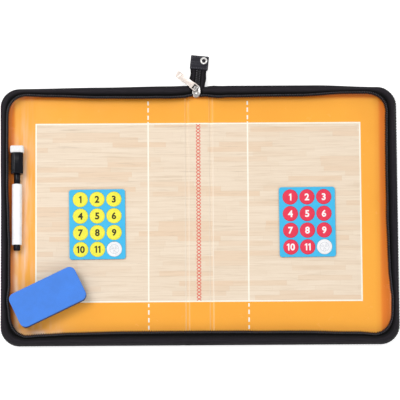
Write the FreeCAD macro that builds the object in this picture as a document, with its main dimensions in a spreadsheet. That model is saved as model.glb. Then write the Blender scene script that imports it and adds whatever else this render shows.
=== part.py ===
import FreeCAD, Part
import math
import os
import Sketcher

# Zip-around folding tactics board, opened flat on a table.
# Origin: centre of the spine's underside. +X right, +Y towards the zip tail, +Z up. Millimetres.

Vec = FreeCAD.Vector

dimensions = {
    # folding case
    "case_width": 460,
    "case_height": 300,
    "corner_radius": 22,
    "crease_offset": 14,
    "crease_clearance": 0.3,
    "skin_thick": 0.9,
    "board_thick": 1.8,
    "steel_thick": 0.4,
    "liner_thick": 0.9,
    "crease_web": 0.6,
    "skin_wall": 1.2,
    "skin_wall_height": 6,
    "skin_edge_bevel": 0.8,
    "seam_clearance": 0.1,
    "rim_wall": 1.2,
    "rim_height": 4,
    "cove_bevel": 3.6,
    # zip on the covers
    "tape_thick": 0.8,
    "tape_bend": 6.4,
    "zip_gap": 0.5,
    "cord_width": 1.2,
    "tooth_reach": 2.6,
    "tooth_height": 2.6,
    "tooth_length": 1.2,
    "tooth_pitch": 4.5,
    "lead_start": 34,
    "lead_strip": 8,
    "lead_rise": 0.5,
    "foot_drop": 2,
    # zip tail, slider and pull, in the tail's own frame
    "tail_x": -2.6,
    "tail_inset": 4.5,
    "tail_z": 7.6,
    "tail_turn": 6,
    "tail_slope": 6.8,
    "tail_length": 44,
    "tail_width": 19,
    "tail_tape_start": 4.8,
    "tail_chain_start": -1.5,
    "tab_width": 21.6,
    "tab_length": 17,
    "tab_leather": 1.1,
    "mesh_depth": 1,
    "rivet_x": 4.9,
    "rivet_y": 38.2,
    "rivet_head_radius": 4.15,
    "rivet_head_thick": 1.1,
    "rivet_dimple_radius": 1.9,
    "rivet_dimple_depth": 0.6,
    "rivet_shank_radius": 1.6,
    "rivet_foot_radius": 3.4,
    "rivet_foot_thick": 0.7,
    "slider_length": 13,
    "slider_front_width": 9.6,
    "slider_back_width": 8,
    "slider_bevel": 1.6,
    "wing_thick": 1.1,
    "chain_clearance": 0.3,
    "post_width": 2,
    "post_length": 4,
    "bail_shift": 3,
    "bail_opening": 4.8,
    "bail_height": 1.9,
    "bail_leg": 0.9,
    "bail_width": 1.2,
    "pull_turn": 57,
    "pull_length": 30,
    "pull_thick": 1,
    "pull_ring_width": 8.4,
    "pull_waist_width": 6.4,
    "pull_end_width": 7.8,
    "pull_ring_length": 5.6,
    "pull_waist_at": 11,
    "pull_end_at": 22,
    "pull_end_round": 1.6,
    "pull_window_width": 6.7,
    "pull_window_length": 5.2,
    "pull_bar_radius": 0.55,
    "pull_bar_lift": 0.85,
    # marker, along its own axis from the rear end
    "marker_inset": 19,
    "marker_foot_inset": 110,
    "plug_length": 6.7,
    "plug_radius": 4.2,
    "plug_spigot": 6,
    "barrel_length": 71,
    "barrel_radius": 5.9,
    "barrel_wall": 1,
    "barrel_edge_bevel": 0.5,
    "marker_fit": 0.05,
    "neck_length": 11.8,
    "neck_radius": 3.75,
    "neck_spigot": 8,
    "holder_length": 6,
    "holder_radius": 3.1,
    "holder_cone": 7,
    "holder_tip_radius": 2,
    "nib_radius": 1.5,
    "nib_reach": 4,
    "nib_tip_radius": 0.6,
    "nib_tail": 3.7,
    "reservoir_gap": 0.5,
    "cap_length": 24.8,
    "cap_across": 14.2,
    "cap_bevel": 3.6,
    "cap_fit": 0.15,
    "cap_end_wall": 2.5,
    "cap_magnet_radius": 3,
    "cap_magnet_thick": 2,
    "cap_magnet_at": 12,
    "cap_felt_length": 8.1,
    "cap_felt_width": 15.6,
    "cap_felt_deep": 14,
    "cap_felt_round": 2.4,
    # board eraser
    "eraser_inset": 55,
    "eraser_foot_inset": 55.6,
    "eraser_turn": 25.6,
    "eraser_length": 83.5,
    "eraser_width": 42,
    "eraser_height": 15,
    "eraser_corner": 7.5,
    "eraser_edge_bevel": 1.2,
    "eraser_felt_thick": 3,
    "eraser_felt_inset": 0.4,
    "eraser_magnet_length": 50,
    "eraser_magnet_width": 14,
    "eraser_magnet_thick": 2,
    "eraser_magnet_fit": 0.1,
    # token cards and tokens
    "card_width": 65,
    "card_height": 81.5,
    "card_corner": 3,
    "token_pitch": 19.45,
    "token_radius": 8.8,
    "token_thick": 1.6,
    "diecut_clearance": 0.2,
    "yellow_card_shift": -3.4,
    "yellow_card_foot_inset": 141,
    "yellow_card_turn": 0.5,
    "red_card_shift": 10,
    "red_card_foot_inset": 142.4,
    "red_card_turn": 0.3,
}

doc = FreeCAD.newDocument("tactics_board")
sheet = doc.addObject("Spreadsheet::Sheet", "Dim")
for row, (alias, value) in enumerate(dimensions.items(), start=1):
    sheet.set(f"A{row}", alias)
    sheet.set(f"B{row}", str(value))
    sheet.setAlias(f"B{row}", alias)
doc.recompute()

parts = []
tiny = 1e-6


def num(expression):
    """Value of an expression of sheet cells."""
    return float(sheet.evalExpression(expression))


# Sizes that several pieces share, as expressions of the cells.
half_width = "Dim.case_width / 2"
half_height = "Dim.case_height / 2"
under_liner = "(Dim.skin_thick + Dim.board_thick + Dim.steel_thick)"
stack = f"({under_liner} + Dim.liner_thick)"
panel_gap = f"({stack} / 2 + Dim.crease_clearance)"
spine_half = f"(Dim.crease_offset - {panel_gap})"
cover_near = f"(Dim.crease_offset + {panel_gap})"
web_end = f"({cover_near} - Dim.seam_clearance)"
tape_inset = "(Dim.skin_wall + Dim.seam_clearance)"
slot_inset = f"({tape_inset} + Dim.tape_thick + Dim.seam_clearance)"
tape_edge_inset = f"({tape_inset} + Dim.tape_bend)"
# Half of the closed case's inner gap puts the two tooth rows just short of each other.
chain_top = f"({stack} / 2 + Dim.crease_offset - Dim.zip_gap)"
chain_middle = f"({chain_top} - Dim.tooth_height / 2)"
tape_top = f"({chain_middle} + Dim.tape_thick / 2)"
tape_upright = f"({tape_top} - Dim.tape_bend)"


def finish(item, label):
    """Name a sub-part and keep it for writing."""
    item.Label = label
    parts.append(item)
    return item


def new_body(label):
    return finish(doc.addObject("PartDesign::Body", label), label)


def sketch_on(body, role, lift=None):
    """Empty sketch on one of the body's origin planes, lifted along the plane's normal."""
    sketch = body.newObject("Sketcher::SketchObject", f"{body.Name}_sketch")
    plane = next(item for item in body.Origin.OriginFeatures if item.Role == role)
    sketch.AttachmentSupport = [(plane, "")]
    sketch.MapMode = "FlatFace"
    if lift is not None:
        sketch.setExpression("AttachmentOffset.Base.z", lift)
    return sketch


def pin(sketch, geometry, vertex, point):
    """Hold a vertex at a pair of expressions measured from the sketch's origin."""
    for kind, axis, expression in (("DistanceX", -2, point[0]), ("DistanceY", -1, point[1])):
        value = num(expression)
        if abs(value) < tiny:
            sketch.addConstraint(Sketcher.Constraint("PointOnObject", geometry, vertex, axis))
            continue
        index = sketch.addConstraint(Sketcher.Constraint(kind, -1, 1, geometry, vertex, value))
        sketch.setExpression(f"Constraints[{index}]", expression)


def bulge_centre(start, end, radius):
    """Centre of the arc under a half circle from start to end; a negative radius turns right."""
    chord = end - start
    rise = math.sqrt(max(radius * radius - chord.Length ** 2 / 4, 0))
    left = Vec(-chord.y, chord.x, 0).normalize()
    return (start + end) * 0.5 + left * math.copysign(rise, radius)


def outline(sketch, points):
    """Closed chain of lines and arcs. A point's third entry is the radius of the arc that leaves it,
    with a leading minus where the arc turns right."""
    spots = [Vec(num(point[0]), num(point[1]), 0) for point in points]
    count = len(points)
    ends = []
    for index in range(count):
        start = spots[index]
        end = spots[(index + 1) % count]
        if len(points[index]) == 2:
            geometry = sketch.addGeometry(Part.LineSegment(start, end))
            ends.append((geometry, 1, 2))
            continue
        turn = points[index][2]
        radius = num(turn)
        centre = bulge_centre(start, end, radius)
        first, last = (start, end) if radius > 0 else (end, start)
        circle = Part.Circle(centre, Vec(0, 0, 1), abs(radius))
        begin_angle = math.atan2(first.y - centre.y, first.x - centre.x)
        end_angle = math.atan2(last.y - centre.y, last.x - centre.x)
        geometry = sketch.addGeometry(Part.ArcOfCircle(circle, begin_angle, end_angle))
        ends.append((geometry, 1, 2) if radius > 0 else (geometry, 2, 1))
        index_radius = sketch.addConstraint(Sketcher.Constraint("Radius", geometry, abs(radius)))
        sketch.setExpression(f"Constraints[{index_radius}]", f"abs({turn})")
    for index in range(count):
        geometry, begin, finish_vertex = ends[index]
        pin(sketch, geometry, begin, points[index])
        following = ends[(index + 1) % count]
        sketch.addConstraint(
            Sketcher.Constraint("Coincident", geometry, finish_vertex, following[0], following[1]))
    return sketch


def rectangle(left, bottom, right, top):
    return [(left, bottom), (right, bottom), (right, top), (left, top)]


def rounded_rectangle(width, height, corner):
    """Centred rectangle with four round corners."""
    x = f"{width} / 2"
    y = f"{height} / 2"
    return [
        (f"-({x} - {corner})", f"-({y})"), (f"{x} - {corner}", f"-({y})", corner),
        (x, f"-({y} - {corner})"), (x, f"{y} - {corner}", corner),
        (f"{x} - {corner}", y), (f"-({x} - {corner})", y, corner),
        (f"-({x})", f"{y} - {corner}"), (f"-({x})", f"-({y} - {corner})", corner),
    ]


def circles(sketch, spots, radius):
    for spot in spots:
        centre = Vec(num(spot[0]), num(spot[1]), 0)
        geometry = sketch.addGeometry(Part.Circle(centre, Vec(0, 0, 1), num(radius)))
        pin(sketch, geometry, 3, spot)
        index = sketch.addConstraint(Sketcher.Constraint("Radius", geometry, num(radius)))
        sketch.setExpression(f"Constraints[{index}]", radius)
    return sketch


def pad(body, sketch, length, symmetric=False, reverse=False):
    feature = body.newObject("PartDesign::Pad", f"{body.Name}_pad")
    feature.Profile = sketch
    feature.setExpression("Length", length)
    if symmetric:
        feature.SideType = "Symmetric"
    feature.Reversed = reverse
    return feature


def pocket(body, sketch, length, symmetric=False, reverse=False):
    feature = body.newObject("PartDesign::Pocket", f"{body.Name}_pocket")
    feature.Profile = sketch
    feature.setExpression("Length", length)
    if symmetric:
        feature.SideType = "Symmetric"
    feature.Reversed = reverse
    return feature


def revolve(body, sketch):
    feature = body.newObject("PartDesign::Revolution", f"{body.Name}_turned")
    feature.Profile = sketch
    feature.ReferenceAxis = (sketch, ["V_Axis"])
    feature.Angle = 360
    return feature


def bevel_edges(body, base, size, chosen):
    """Chamfer the edges of the base feature that the test picks."""
    doc.recompute()
    names = [f"Edge{n}" for n, edge in enumerate(base.Shape.Edges, start=1) if chosen(edge)]
    feature = body.newObject("PartDesign::Chamfer", f"{body.Name}_bevel")
    feature.Base = (base, names)
    feature.setExpression("Size", size)
    return feature


def place(item, x="0", y="0", z="0"):
    item.setExpression("Placement.Base.x", x)
    item.setExpression("Placement.Base.y", y)
    item.setExpression("Placement.Base.z", z)


def at_height(edge, height):
    box = edge.BoundBox
    return abs(box.ZMin - height) < tiny and abs(box.ZMax - height) < tiny


def mirrored(source, label):
    """Left-hand twin of a right-hand piece."""
    twin = doc.addObject("Part::Mirroring", label)
    twin.Source = source
    twin.Normal = Vec(1, 0, 0)
    return finish(twin, label)


# Covers. The right one is drawn and the left one is its mirror image.

def cover_outline(inset, near):
    """Cover plan set in from the outer edge by inset, square at the crease."""
    y = f"({half_height} - {inset})"
    x = f"({half_width} - {inset})"
    corner = f"(Dim.corner_radius - {inset})"
    corner_x = f"({half_width} - Dim.corner_radius)"
    corner_y = f"({half_height} - Dim.corner_radius)"
    return [
        (near, f"-{y}"), (corner_x, f"-{y}", corner),
        (x, f"-{corner_y}"), (x, corner_y, corner),
        (corner_x, y), (near, y),
    ]


def beyond_crease(inset):
    """A start short of the crease, so that a cut runs out of the panel there."""
    return f"({cover_near} - {inset})"


skin = new_body("right_outer_skin")
pad(skin, outline(sketch_on(skin, "XY_Plane"), cover_outline("0", cover_near)), "Dim.skin_wall_height")
skin_tray = pocket(
    skin,
    outline(sketch_on(skin, "XY_Plane", "Dim.skin_thick"),
            cover_outline("Dim.skin_wall", beyond_crease("Dim.skin_wall"))),
    "Dim.skin_wall_height", reverse=True)
past_crease = num(f"{cover_near} + Dim.skin_thick")
bevel_edges(skin, skin_tray, "Dim.skin_edge_bevel",
            lambda edge: at_height(edge, 0) and edge.BoundBox.XMax > past_crease)

board = new_body("right_board")
board_near = f"({cover_near} + Dim.liner_thick)"
pad(board, outline(sketch_on(board, "XY_Plane", "Dim.skin_thick"), cover_outline(slot_inset, board_near)),
    "Dim.board_thick")

steel = new_body("right_steel_sheet")
pad(steel, outline(sketch_on(steel, "XY_Plane", "Dim.skin_thick + Dim.board_thick"),
                   cover_outline(slot_inset, board_near)), "Dim.steel_thick")

liner = new_body("right_liner")
pad(liner, outline(sketch_on(liner, "XY_Plane", under_liner), cover_outline(slot_inset, cover_near)),
    "Dim.liner_thick + Dim.rim_height")
rim_inset = f"({slot_inset} + Dim.rim_wall)"
liner_tray = pocket(
    liner,
    outline(sketch_on(liner, "XY_Plane", stack), cover_outline(rim_inset, beyond_crease("Dim.rim_wall"))),
    "Dim.rim_height + Dim.liner_thick", reverse=True)
rim_x = num(f"{half_width} - {rim_inset}") + tiny
rim_y = num(f"{half_height} - {rim_inset}") + tiny
field_z = num(stack)


def is_cove(edge):
    box = edge.BoundBox
    inside = abs(box.YMin) < rim_y and abs(box.YMax) < rim_y and box.XMax < rim_x
    return at_height(edge, field_z) and inside and box.XMax > past_crease


bevel_edges(liner, liner_tray, "Dim.cove_bevel", is_cove)
# The liner turns down over the board's edge at the crease.
liner_end = f"({half_height} - {slot_inset})"
pad(liner, outline(sketch_on(liner, "XY_Plane", "Dim.skin_thick"),
                   rectangle(cover_near, f"-{liner_end}", board_near, liner_end)),
    f"{under_liner} - Dim.skin_thick")

tape = new_body("right_zip_tape")
corner_start_x = f"({half_width} - Dim.corner_radius)"
corner_start_y = f"({half_height} - Dim.corner_radius)"
arch_angles = (0, 30, 60, 90)


def tape_section(edge):
    """The tape stands in the seam and arches inwards to the tooth row, in three flats."""
    outer = f"({edge} - {tape_inset})"
    inner = f"({outer} - Dim.tape_thick)"
    outside = []
    inside = []
    for angle in arch_angles:
        for side, radius in ((outside, "Dim.tape_bend"), (inside, "(Dim.tape_bend - Dim.tape_thick)")):
            side.append((f"{outer} - Dim.tape_bend + {radius} * cos({angle})",
                         f"{tape_upright} + {radius} * sin({angle})"))
    return [(inner, "Dim.skin_thick"), (outer, "Dim.skin_thick")] + outside + inside[::-1]


tape_head = pad(tape, outline(sketch_on(tape, "YZ_Plane", "Dim.lead_start"), tape_section(half_height)),
                f"{corner_start_x} - Dim.lead_start")
corner_sketch = outline(sketch_on(tape, "YZ_Plane", corner_start_x), tape_section(half_height))
axis_line = corner_sketch.addGeometry(
    Part.LineSegment(Vec(num(corner_start_y), 0, 0), Vec(num(corner_start_y), num(tape_top), 0)), True)
pin(corner_sketch, axis_line, 1, (corner_start_y, "0"))
pin(corner_sketch, axis_line, 2, (corner_start_y, tape_top))
doc.recompute()
tape_corner = tape.newObject("PartDesign::Revolution", "right_zip_tape_corner")
tape_corner.Profile = corner_sketch
tape_corner.ReferenceAxis = (corner_sketch, ["Axis0"])
tape_corner.Angle = 90
tape_corner.Reversed = True
tape_side = outline(sketch_on(tape, "XZ_Plane"), tape_section(half_width))
pad(tape, tape_side, f"2 * {corner_start_y}", symmetric=True)
doc.recompute()
tape_foot = tape.newObject("PartDesign::Mirrored", "right_zip_tape_foot")
tape_foot.Originals = [tape_head, tape_corner]
tape_foot.MirrorPlane = (next(item for item in tape.Origin.OriginFeatures if item.Role == "XZ_Plane"), [""])
tape.Tip = tape_foot


# Tooth rows: a cord along the tape's edge with one tooth each pitch.

def tooth_profile(spot, normal):
    """Four corners of one tooth standing on the cord at spot."""
    half = num("Dim.tooth_length / 2")
    reach = num("Dim.tooth_reach - Dim.cord_width")
    along = Vec(-normal.y, normal.x, 0)
    foot = spot - along * half
    head = spot + along * half
    return [foot, foot + normal * reach, head + normal * reach, head]


def cover_row():
    """Right-hand row: out along the head, round the outer edge and back along the foot."""
    back = num(tape_edge_inset) + num("Dim.seam_clearance")
    front = back + num("Dim.cord_width")
    start_x = num("Dim.lead_start")
    centre_x = num(corner_start_x)
    centre_y = num(corner_start_y)
    radius = num("Dim.corner_radius")
    outer = radius - back
    inner = radius - front
    reach_y = num(half_height)
    reach_x = num(half_width)
    diagonal = math.sqrt(0.5) * outer
    back_x = reach_x - back
    back_y = reach_y - back
    head = Vec(start_x, back_y, 0)
    head_turn = Vec(centre_x, back_y, 0)
    side_head = Vec(back_x, centre_y, 0)
    side_foot = Vec(back_x, -centre_y, 0)
    foot_turn = Vec(centre_x, -back_y, 0)
    foot = Vec(start_x, -back_y, 0)
    head_bend = Vec(centre_x + diagonal, centre_y + diagonal, 0)
    foot_bend = Vec(centre_x + diagonal, -centre_y - diagonal, 0)
    edges = [
        Part.LineSegment(head, head_turn).toShape(), Part.Arc(head_turn, head_bend, side_head).toShape(),
        Part.LineSegment(side_head, side_foot).toShape(), Part.Arc(side_foot, foot_bend, foot_turn).toShape(),
        Part.LineSegment(foot_turn, foot).toShape(),
    ]
    # The inner side is walked from the foot back to the head.
    straight = centre_x - start_x
    bend = inner * math.pi / 2
    side = 2 * centre_y
    total = 2 * straight + 2 * bend + side
    pitch = num("Dim.tooth_pitch")
    count = int(total / pitch)
    walk = [Vec(start_x, front - reach_y, 0)]
    for tooth in range(count):
        run = (total - (count - 1) * pitch) / 2 + tooth * pitch
        if run < straight:
            spot = Vec(start_x + run, front - reach_y, 0)
            normal = Vec(0, 1, 0)
        elif run < straight + bend:
            angle = (run - straight) / inner
            normal = Vec(-math.sin(angle), math.cos(angle), 0)
            spot = Vec(centre_x, -centre_y, 0) - normal * inner
        elif run < straight + bend + side:
            spot = Vec(reach_x - front, run - straight - bend - centre_y, 0)
            normal = Vec(-1, 0, 0)
        elif run < straight + 2 * bend + side:
            angle = (run - straight - bend - side) / inner
            normal = Vec(-math.cos(angle), -math.sin(angle), 0)
            spot = Vec(centre_x, centre_y, 0) - normal * inner
        else:
            spot = Vec(start_x + total - run, reach_y - front, 0)
            normal = Vec(0, -1, 0)
        walk.extend(reversed(tooth_profile(spot, normal)))
    walk.append(Vec(start_x, reach_y - front, 0))
    walk.append(head)
    walk.insert(0, foot)
    for first, second in zip(walk, walk[1:]):
        edges.append(Part.LineSegment(first, second).toShape())
    face = Part.Face(Part.Wire(edges))
    return face.extrude(Vec(0, 0, num("Dim.tooth_height")))


teeth = finish(doc.addObject("Part::Feature", "right_zip_teeth"), "right_zip_teeth")
teeth.Shape = cover_row()
teeth_floor = num(f"{chain_middle} - Dim.tooth_height / 2")
teeth.Placement = FreeCAD.Placement(Vec(0, 0, teeth_floor), FreeCAD.Rotation())

for source in (skin, board, steel, liner, tape, teeth):
    mirrored(source, source.Label.replace("right_", "left_"))

# Spine: skin with the two crease webs and turned-up ends, stiffener, liner pressed down at the creases.

spine_skin = new_body("spine_outer_skin")
pad(spine_skin, outline(sketch_on(spine_skin, "XY_Plane"),
                        rectangle(f"-{web_end}", f"-{half_height}", web_end, half_height)), "Dim.skin_thick")
wall_y = f"({half_height} - Dim.skin_wall)"
spine_ends = sketch_on(spine_skin, "XY_Plane")
outline(spine_ends, rectangle(f"-{spine_half}", wall_y, spine_half, half_height))
pad(spine_skin, spine_ends, stack)
spine_foot_end = sketch_on(spine_skin, "XY_Plane")
outline(spine_foot_end, rectangle(f"-{spine_half}", f"-{half_height}", spine_half, f"-{wall_y}"))
pad(spine_skin, spine_foot_end, stack)

spine_length = "(Dim.case_height - 2 * Dim.skin_wall - 2 * Dim.seam_clearance)"
stiffener_half = f"({spine_half} - Dim.liner_thick)"
stiffener = finish(doc.addObject("Part::Box", "spine_stiffener"), "spine_stiffener")
stiffener.setExpression("Length", f"2 * {stiffener_half}")
stiffener.setExpression("Width", spine_length)
stiffener.setExpression("Height", "Dim.board_thick + Dim.steel_thick")
place(stiffener, f"-{stiffener_half}", f"-{spine_length} / 2", "Dim.skin_thick")

spine_liner = new_body("spine_liner")
web_top = "(Dim.skin_thick + Dim.crease_web)"
pad(spine_liner, outline(sketch_on(spine_liner, "XZ_Plane"), [
    (f"-{web_end}", "Dim.skin_thick"), (f"-{stiffener_half}", "Dim.skin_thick"),
    (f"-{stiffener_half}", under_liner), (stiffener_half, under_liner),
    (stiffener_half, "Dim.skin_thick"), (web_end, "Dim.skin_thick"),
    (web_end, web_top), (spine_half, web_top), (spine_half, stack),
    (f"-{spine_half}", stack), (f"-{spine_half}", web_top), (f"-{web_end}", web_top),
]), spine_length, symmetric=True)

# Zip tail, in a frame at the slider's rest place: +Y along the tail, +Z out of the tape.

tail_rotation = FreeCAD.Rotation(Vec(0, 0, 1), -num("Dim.tail_turn"))
tail_rotation = tail_rotation.multiply(FreeCAD.Rotation(Vec(1, 0, 0), -num("Dim.tail_slope")))
tail_y = num(f"{half_height} - Dim.tail_inset")
tail_place = FreeCAD.Placement(Vec(num("Dim.tail_x"), tail_y, num("Dim.tail_z")), tail_rotation)
chain_half = "(Dim.tooth_reach - Dim.mesh_depth / 2)"
tab_start = "(Dim.tail_length - Dim.tab_length)"
tab_gap_half = "(Dim.tape_thick / 2 + Dim.seam_clearance)"
tab_half = f"({tab_gap_half} + Dim.tab_leather)"
tape_tip = f"(Dim.tail_length - {tab_half} - Dim.seam_clearance)"


def tail_half_row(side):
    """One row of the meshed chain; the left row stands half a pitch along from the right one."""
    back = num(chain_half)
    front = back - num("Dim.cord_width")
    tip = back - num("Dim.tooth_reach")
    half_tooth = num("Dim.tooth_length / 2")
    first_y = num("Dim.tail_chain_start")
    last_y = num(f"{tab_start} - Dim.chain_clearance")
    pitch = num("Dim.tooth_pitch")
    count = int((last_y - first_y - pitch) / pitch)
    walk = [Vec(side * back, last_y, 0), Vec(side * back, first_y, 0), Vec(side * front, first_y, 0)]
    for tooth in range(count):
        y = first_y + pitch * (tooth + (0.5 if side > 0 else 1))
        walk.append(Vec(side * front, y - half_tooth, 0))
        walk.append(Vec(side * tip, y - half_tooth, 0))
        walk.append(Vec(side * tip, y + half_tooth, 0))
        walk.append(Vec(side * front, y + half_tooth, 0))
    walk.append(Vec(side * front, last_y, 0))
    face = Part.Face(Part.makePolygon(walk + [walk[0]]))
    solid = face.extrude(Vec(0, 0, num("Dim.tooth_height")))
    solid.translate(Vec(0, 0, -num("Dim.tooth_height / 2")))
    return solid


tail_teeth = finish(doc.addObject("Part::Feature", "zip_tail_teeth"), "zip_tail_teeth")
tail_teeth.Shape = Part.makeCompound([tail_half_row(1), tail_half_row(-1)])
tail_teeth.Placement = tail_place

tail_tape = new_body("zip_tail_tape")
tail_tape.AllowCompound = True
tail_edge = "Dim.tail_width / 2"
tape_gap = f"({chain_half} + Dim.seam_clearance)"
tail_sheet = sketch_on(tail_tape, "XY_Plane", "-Dim.tape_thick / 2")
outline(tail_sheet, rectangle(tape_gap, "Dim.tail_tape_start", tail_edge, tape_tip))
outline(tail_sheet, rectangle(f"-({tail_edge})", "Dim.tail_tape_start", f"-{tape_gap}", tape_tip))
pad(tail_tape, tail_sheet, "Dim.tape_thick")
rivet_hole = "Dim.rivet_shank_radius + Dim.seam_clearance"
tape_hole = circles(sketch_on(tail_tape, "XY_Plane"), [("Dim.rivet_x", "Dim.rivet_y")], rivet_hole)
pocket(tail_tape, tape_hole, "2 * Dim.tape_thick", symmetric=True)
tail_tape.Placement = tail_place

tab = new_body("zip_tail_tab")
fold_y = f"(Dim.tail_length - {tab_half})"
pad(tab, outline(sketch_on(tab, "YZ_Plane"), [
    (tab_start, f"-{tab_half}"), (fold_y, f"-{tab_half}"),
    ("Dim.tail_length", f"-{tab_gap_half}"), ("Dim.tail_length", tab_gap_half), (fold_y, tab_half),
    (tab_start, tab_half), (tab_start, tab_gap_half), (fold_y, tab_gap_half),
    (fold_y, f"-{tab_gap_half}"), (tab_start, f"-{tab_gap_half}"),
]), "Dim.tab_width", symmetric=True)
tab_hole = circles(sketch_on(tab, "XY_Plane"), [("Dim.rivet_x", "Dim.rivet_y")], rivet_hole)
pocket(tab, tab_hole, f"4 * {tab_half}", symmetric=True)
tab.Placement = tail_place

rivet = new_body("tail_rivet")
head_top = f"({tab_half} + Dim.rivet_head_thick)"
revolve(rivet, outline(sketch_on(rivet, "XZ_Plane"), [
    ("0", f"-({tab_half} + Dim.rivet_foot_thick)"),
    ("Dim.rivet_foot_radius", f"-({tab_half} + Dim.rivet_foot_thick)"),
    ("Dim.rivet_foot_radius", f"-{tab_half}"), ("Dim.rivet_shank_radius", f"-{tab_half}"),
    ("Dim.rivet_shank_radius", tab_half), ("Dim.rivet_head_radius", tab_half),
    ("Dim.rivet_head_radius", f"{head_top} - Dim.rivet_head_thick / 2"),
    ("Dim.rivet_head_radius - Dim.rivet_head_thick / 2", head_top),
    ("Dim.rivet_dimple_radius", head_top),
    ("Dim.rivet_dimple_radius", f"{head_top} - Dim.rivet_dimple_depth"),
    ("0", f"{head_top} - Dim.rivet_dimple_depth"),
]))
rivet.Placement = tail_place.multiply(FreeCAD.Placement(
    Vec(num("Dim.rivet_x"), num("Dim.rivet_y"), 0), FreeCAD.Rotation()))

# Soft tape between the covers' zips and the slider, and across the foot of the spine.


def strip(sections):
    """Thin band through quads given as (sewn edge, tooth edge, across), each a point or direction."""
    half = num("Dim.tape_thick / 2")
    wires = []
    for sewn, toothed, across in sections:
        offset = Vec(across).normalize() * half
        ring = [sewn - offset, toothed - offset, toothed + offset, sewn + offset]
        wires.append(Part.makePolygon(ring + [ring[0]]))
    return Part.makeLoft(wires, True, True)


def arch_section(x, end, drop):
    """Band section that carries on the cover's arched tape at x, on the head (1) or the foot (-1).
    The drop lowers the toothed edge; the sewn edge stays above the liner's rim."""
    inset = num(f"{tape_inset} + Dim.tape_thick / 2")
    sewn = Vec(x, end * (num(half_height) - inset), num(f"{tape_upright} + Dim.lead_rise"))
    toothed_y = num(f"{half_height} - {tape_edge_inset}")
    toothed = Vec(x, end * toothed_y, num(f"{tape_top} - Dim.tape_thick") - drop)
    across = Vec(0, end, 1)
    return sewn, toothed, across


leads = []
for side in (-1, 1):
    outer_x = num("Dim.lead_start - Dim.seam_clearance")
    slider_side = num("Dim.slider_front_width / 2 + Dim.chain_clearance")
    edge_y = num("Dim.tail_tape_start - Dim.seam_clearance")
    sewn_end = tail_place.multVec(Vec(side * num(tail_edge), edge_y, 0))
    tooth_end = tail_place.multVec(Vec(side * slider_side, edge_y - num("Dim.lead_strip"), 0))
    tail_normal = tail_rotation.multVec(Vec(0, 0, 1))
    start = arch_section(side * outer_x, 1, 0)
    middle_x = (side * outer_x + tooth_end.x) / 2
    middle = arch_section(middle_x, 1, (start[1].z - tooth_end.z) / 2)
    leads.append(strip([start, middle, (sewn_end, tooth_end, tail_normal)]))
zip_leads = finish(doc.addObject("Part::Feature", "zip_leads"), "zip_leads")
zip_leads.Shape = Part.makeCompound(leads)

gusset_x = num("Dim.lead_start - Dim.seam_clearance")
zip_gusset = finish(doc.addObject("Part::Feature", "zip_end_gusset"), "zip_end_gusset")
zip_gusset.Shape = strip([
    arch_section(-gusset_x, -1, 0), arch_section(0, -1, num("Dim.foot_drop")), arch_section(gusset_x, -1, 0),
])

# Slider: two wings joined by the post between the tooth rows, with a bail for the pull.

slider = new_body("slider_body")
channel_half = f"({chain_half} + Dim.chain_clearance)"
channel_z = "(Dim.tooth_height / 2 + Dim.chain_clearance)"
slot_z = "(Dim.tape_thick / 2 + Dim.chain_clearance)"
wing_z = f"({channel_z} + Dim.wing_thick)"
slider_end = "(Dim.slider_length / 2)"
post_back = f"(Dim.post_length - {slider_end})"
post_shoulder = f"({post_back} - Dim.post_width / 2)"
post_half = "(Dim.post_width / 2)"
pad(slider, outline(sketch_on(slider, "XY_Plane"), [
    (f"-{post_half}", f"-{slider_end}"), (post_half, f"-{slider_end}"),
    (post_half, post_shoulder), ("0", post_back), (f"-{post_half}", post_shoulder),
]), f"2 * {wing_z}", symmetric=True)
front_half = "Dim.slider_front_width / 2"
back_half = "Dim.slider_back_width / 2"
front_square = f"({front_half} - Dim.slider_bevel)"
back_square = f"({back_half} - Dim.slider_bevel)"
bevel_y = f"({slider_end} - Dim.slider_bevel)"
wing_plan = [
    (f"-{front_square}", f"-{slider_end}"), (front_square, f"-{slider_end}"),
    (front_half, f"-{bevel_y}"), (back_half, bevel_y),
    (back_square, slider_end), (f"-{back_square}", slider_end),
    (f"-({back_half})", bevel_y), (f"-({front_half})", f"-{bevel_y}"),
]
wing_shell = f"{wing_z} - {slot_z}"
pad(slider, outline(sketch_on(slider, "XY_Plane", slot_z), wing_plan), wing_shell)
pad(slider, outline(sketch_on(slider, "XY_Plane", f"-{slot_z}"), wing_plan), wing_shell, reverse=True)
run_out = f"({slider_end} + Dim.slider_bevel)"
pocket(slider, outline(sketch_on(slider, "XY_Plane"), [
    (f"-{channel_half}", f"-{run_out}"), (f"-{post_half}", f"-{run_out}"),
    (f"-{post_half}", post_shoulder), ("0", post_back), (post_half, post_shoulder),
    (post_half, f"-{run_out}"), (channel_half, f"-{run_out}"),
    (channel_half, run_out), (f"-{channel_half}", run_out),
]), f"2 * {channel_z}", symmetric=True)
bail_front_inner = "(Dim.bail_shift - Dim.bail_opening / 2)"
bail_front = f"({bail_front_inner} - Dim.bail_leg)"
bail_back_inner = "(Dim.bail_shift + Dim.bail_opening / 2)"
bail_back = f"({bail_back_inner} + Dim.bail_leg)"
bail_under = f"({wing_z} + Dim.bail_height)"
bail_top = f"({bail_under} + Dim.bail_leg)"
bail_root = f"({wing_z} - Dim.wing_thick / 2)"
pad(slider, outline(sketch_on(slider, "YZ_Plane"), [
    (bail_front, bail_root), (bail_front_inner, bail_root),
    (bail_front_inner, bail_under), (bail_back_inner, bail_under),
    (bail_back_inner, bail_root), (bail_back, bail_root),
    (bail_back, bail_under, "Dim.bail_leg"), (bail_back_inner, bail_top),
    (bail_front_inner, bail_top, "Dim.bail_leg"), (bail_front, bail_under),
]), "Dim.bail_width", symmetric=True)
slider.Placement = tail_place

# Pull: flat plate whose window hangs on the bail by a round bar.

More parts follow.
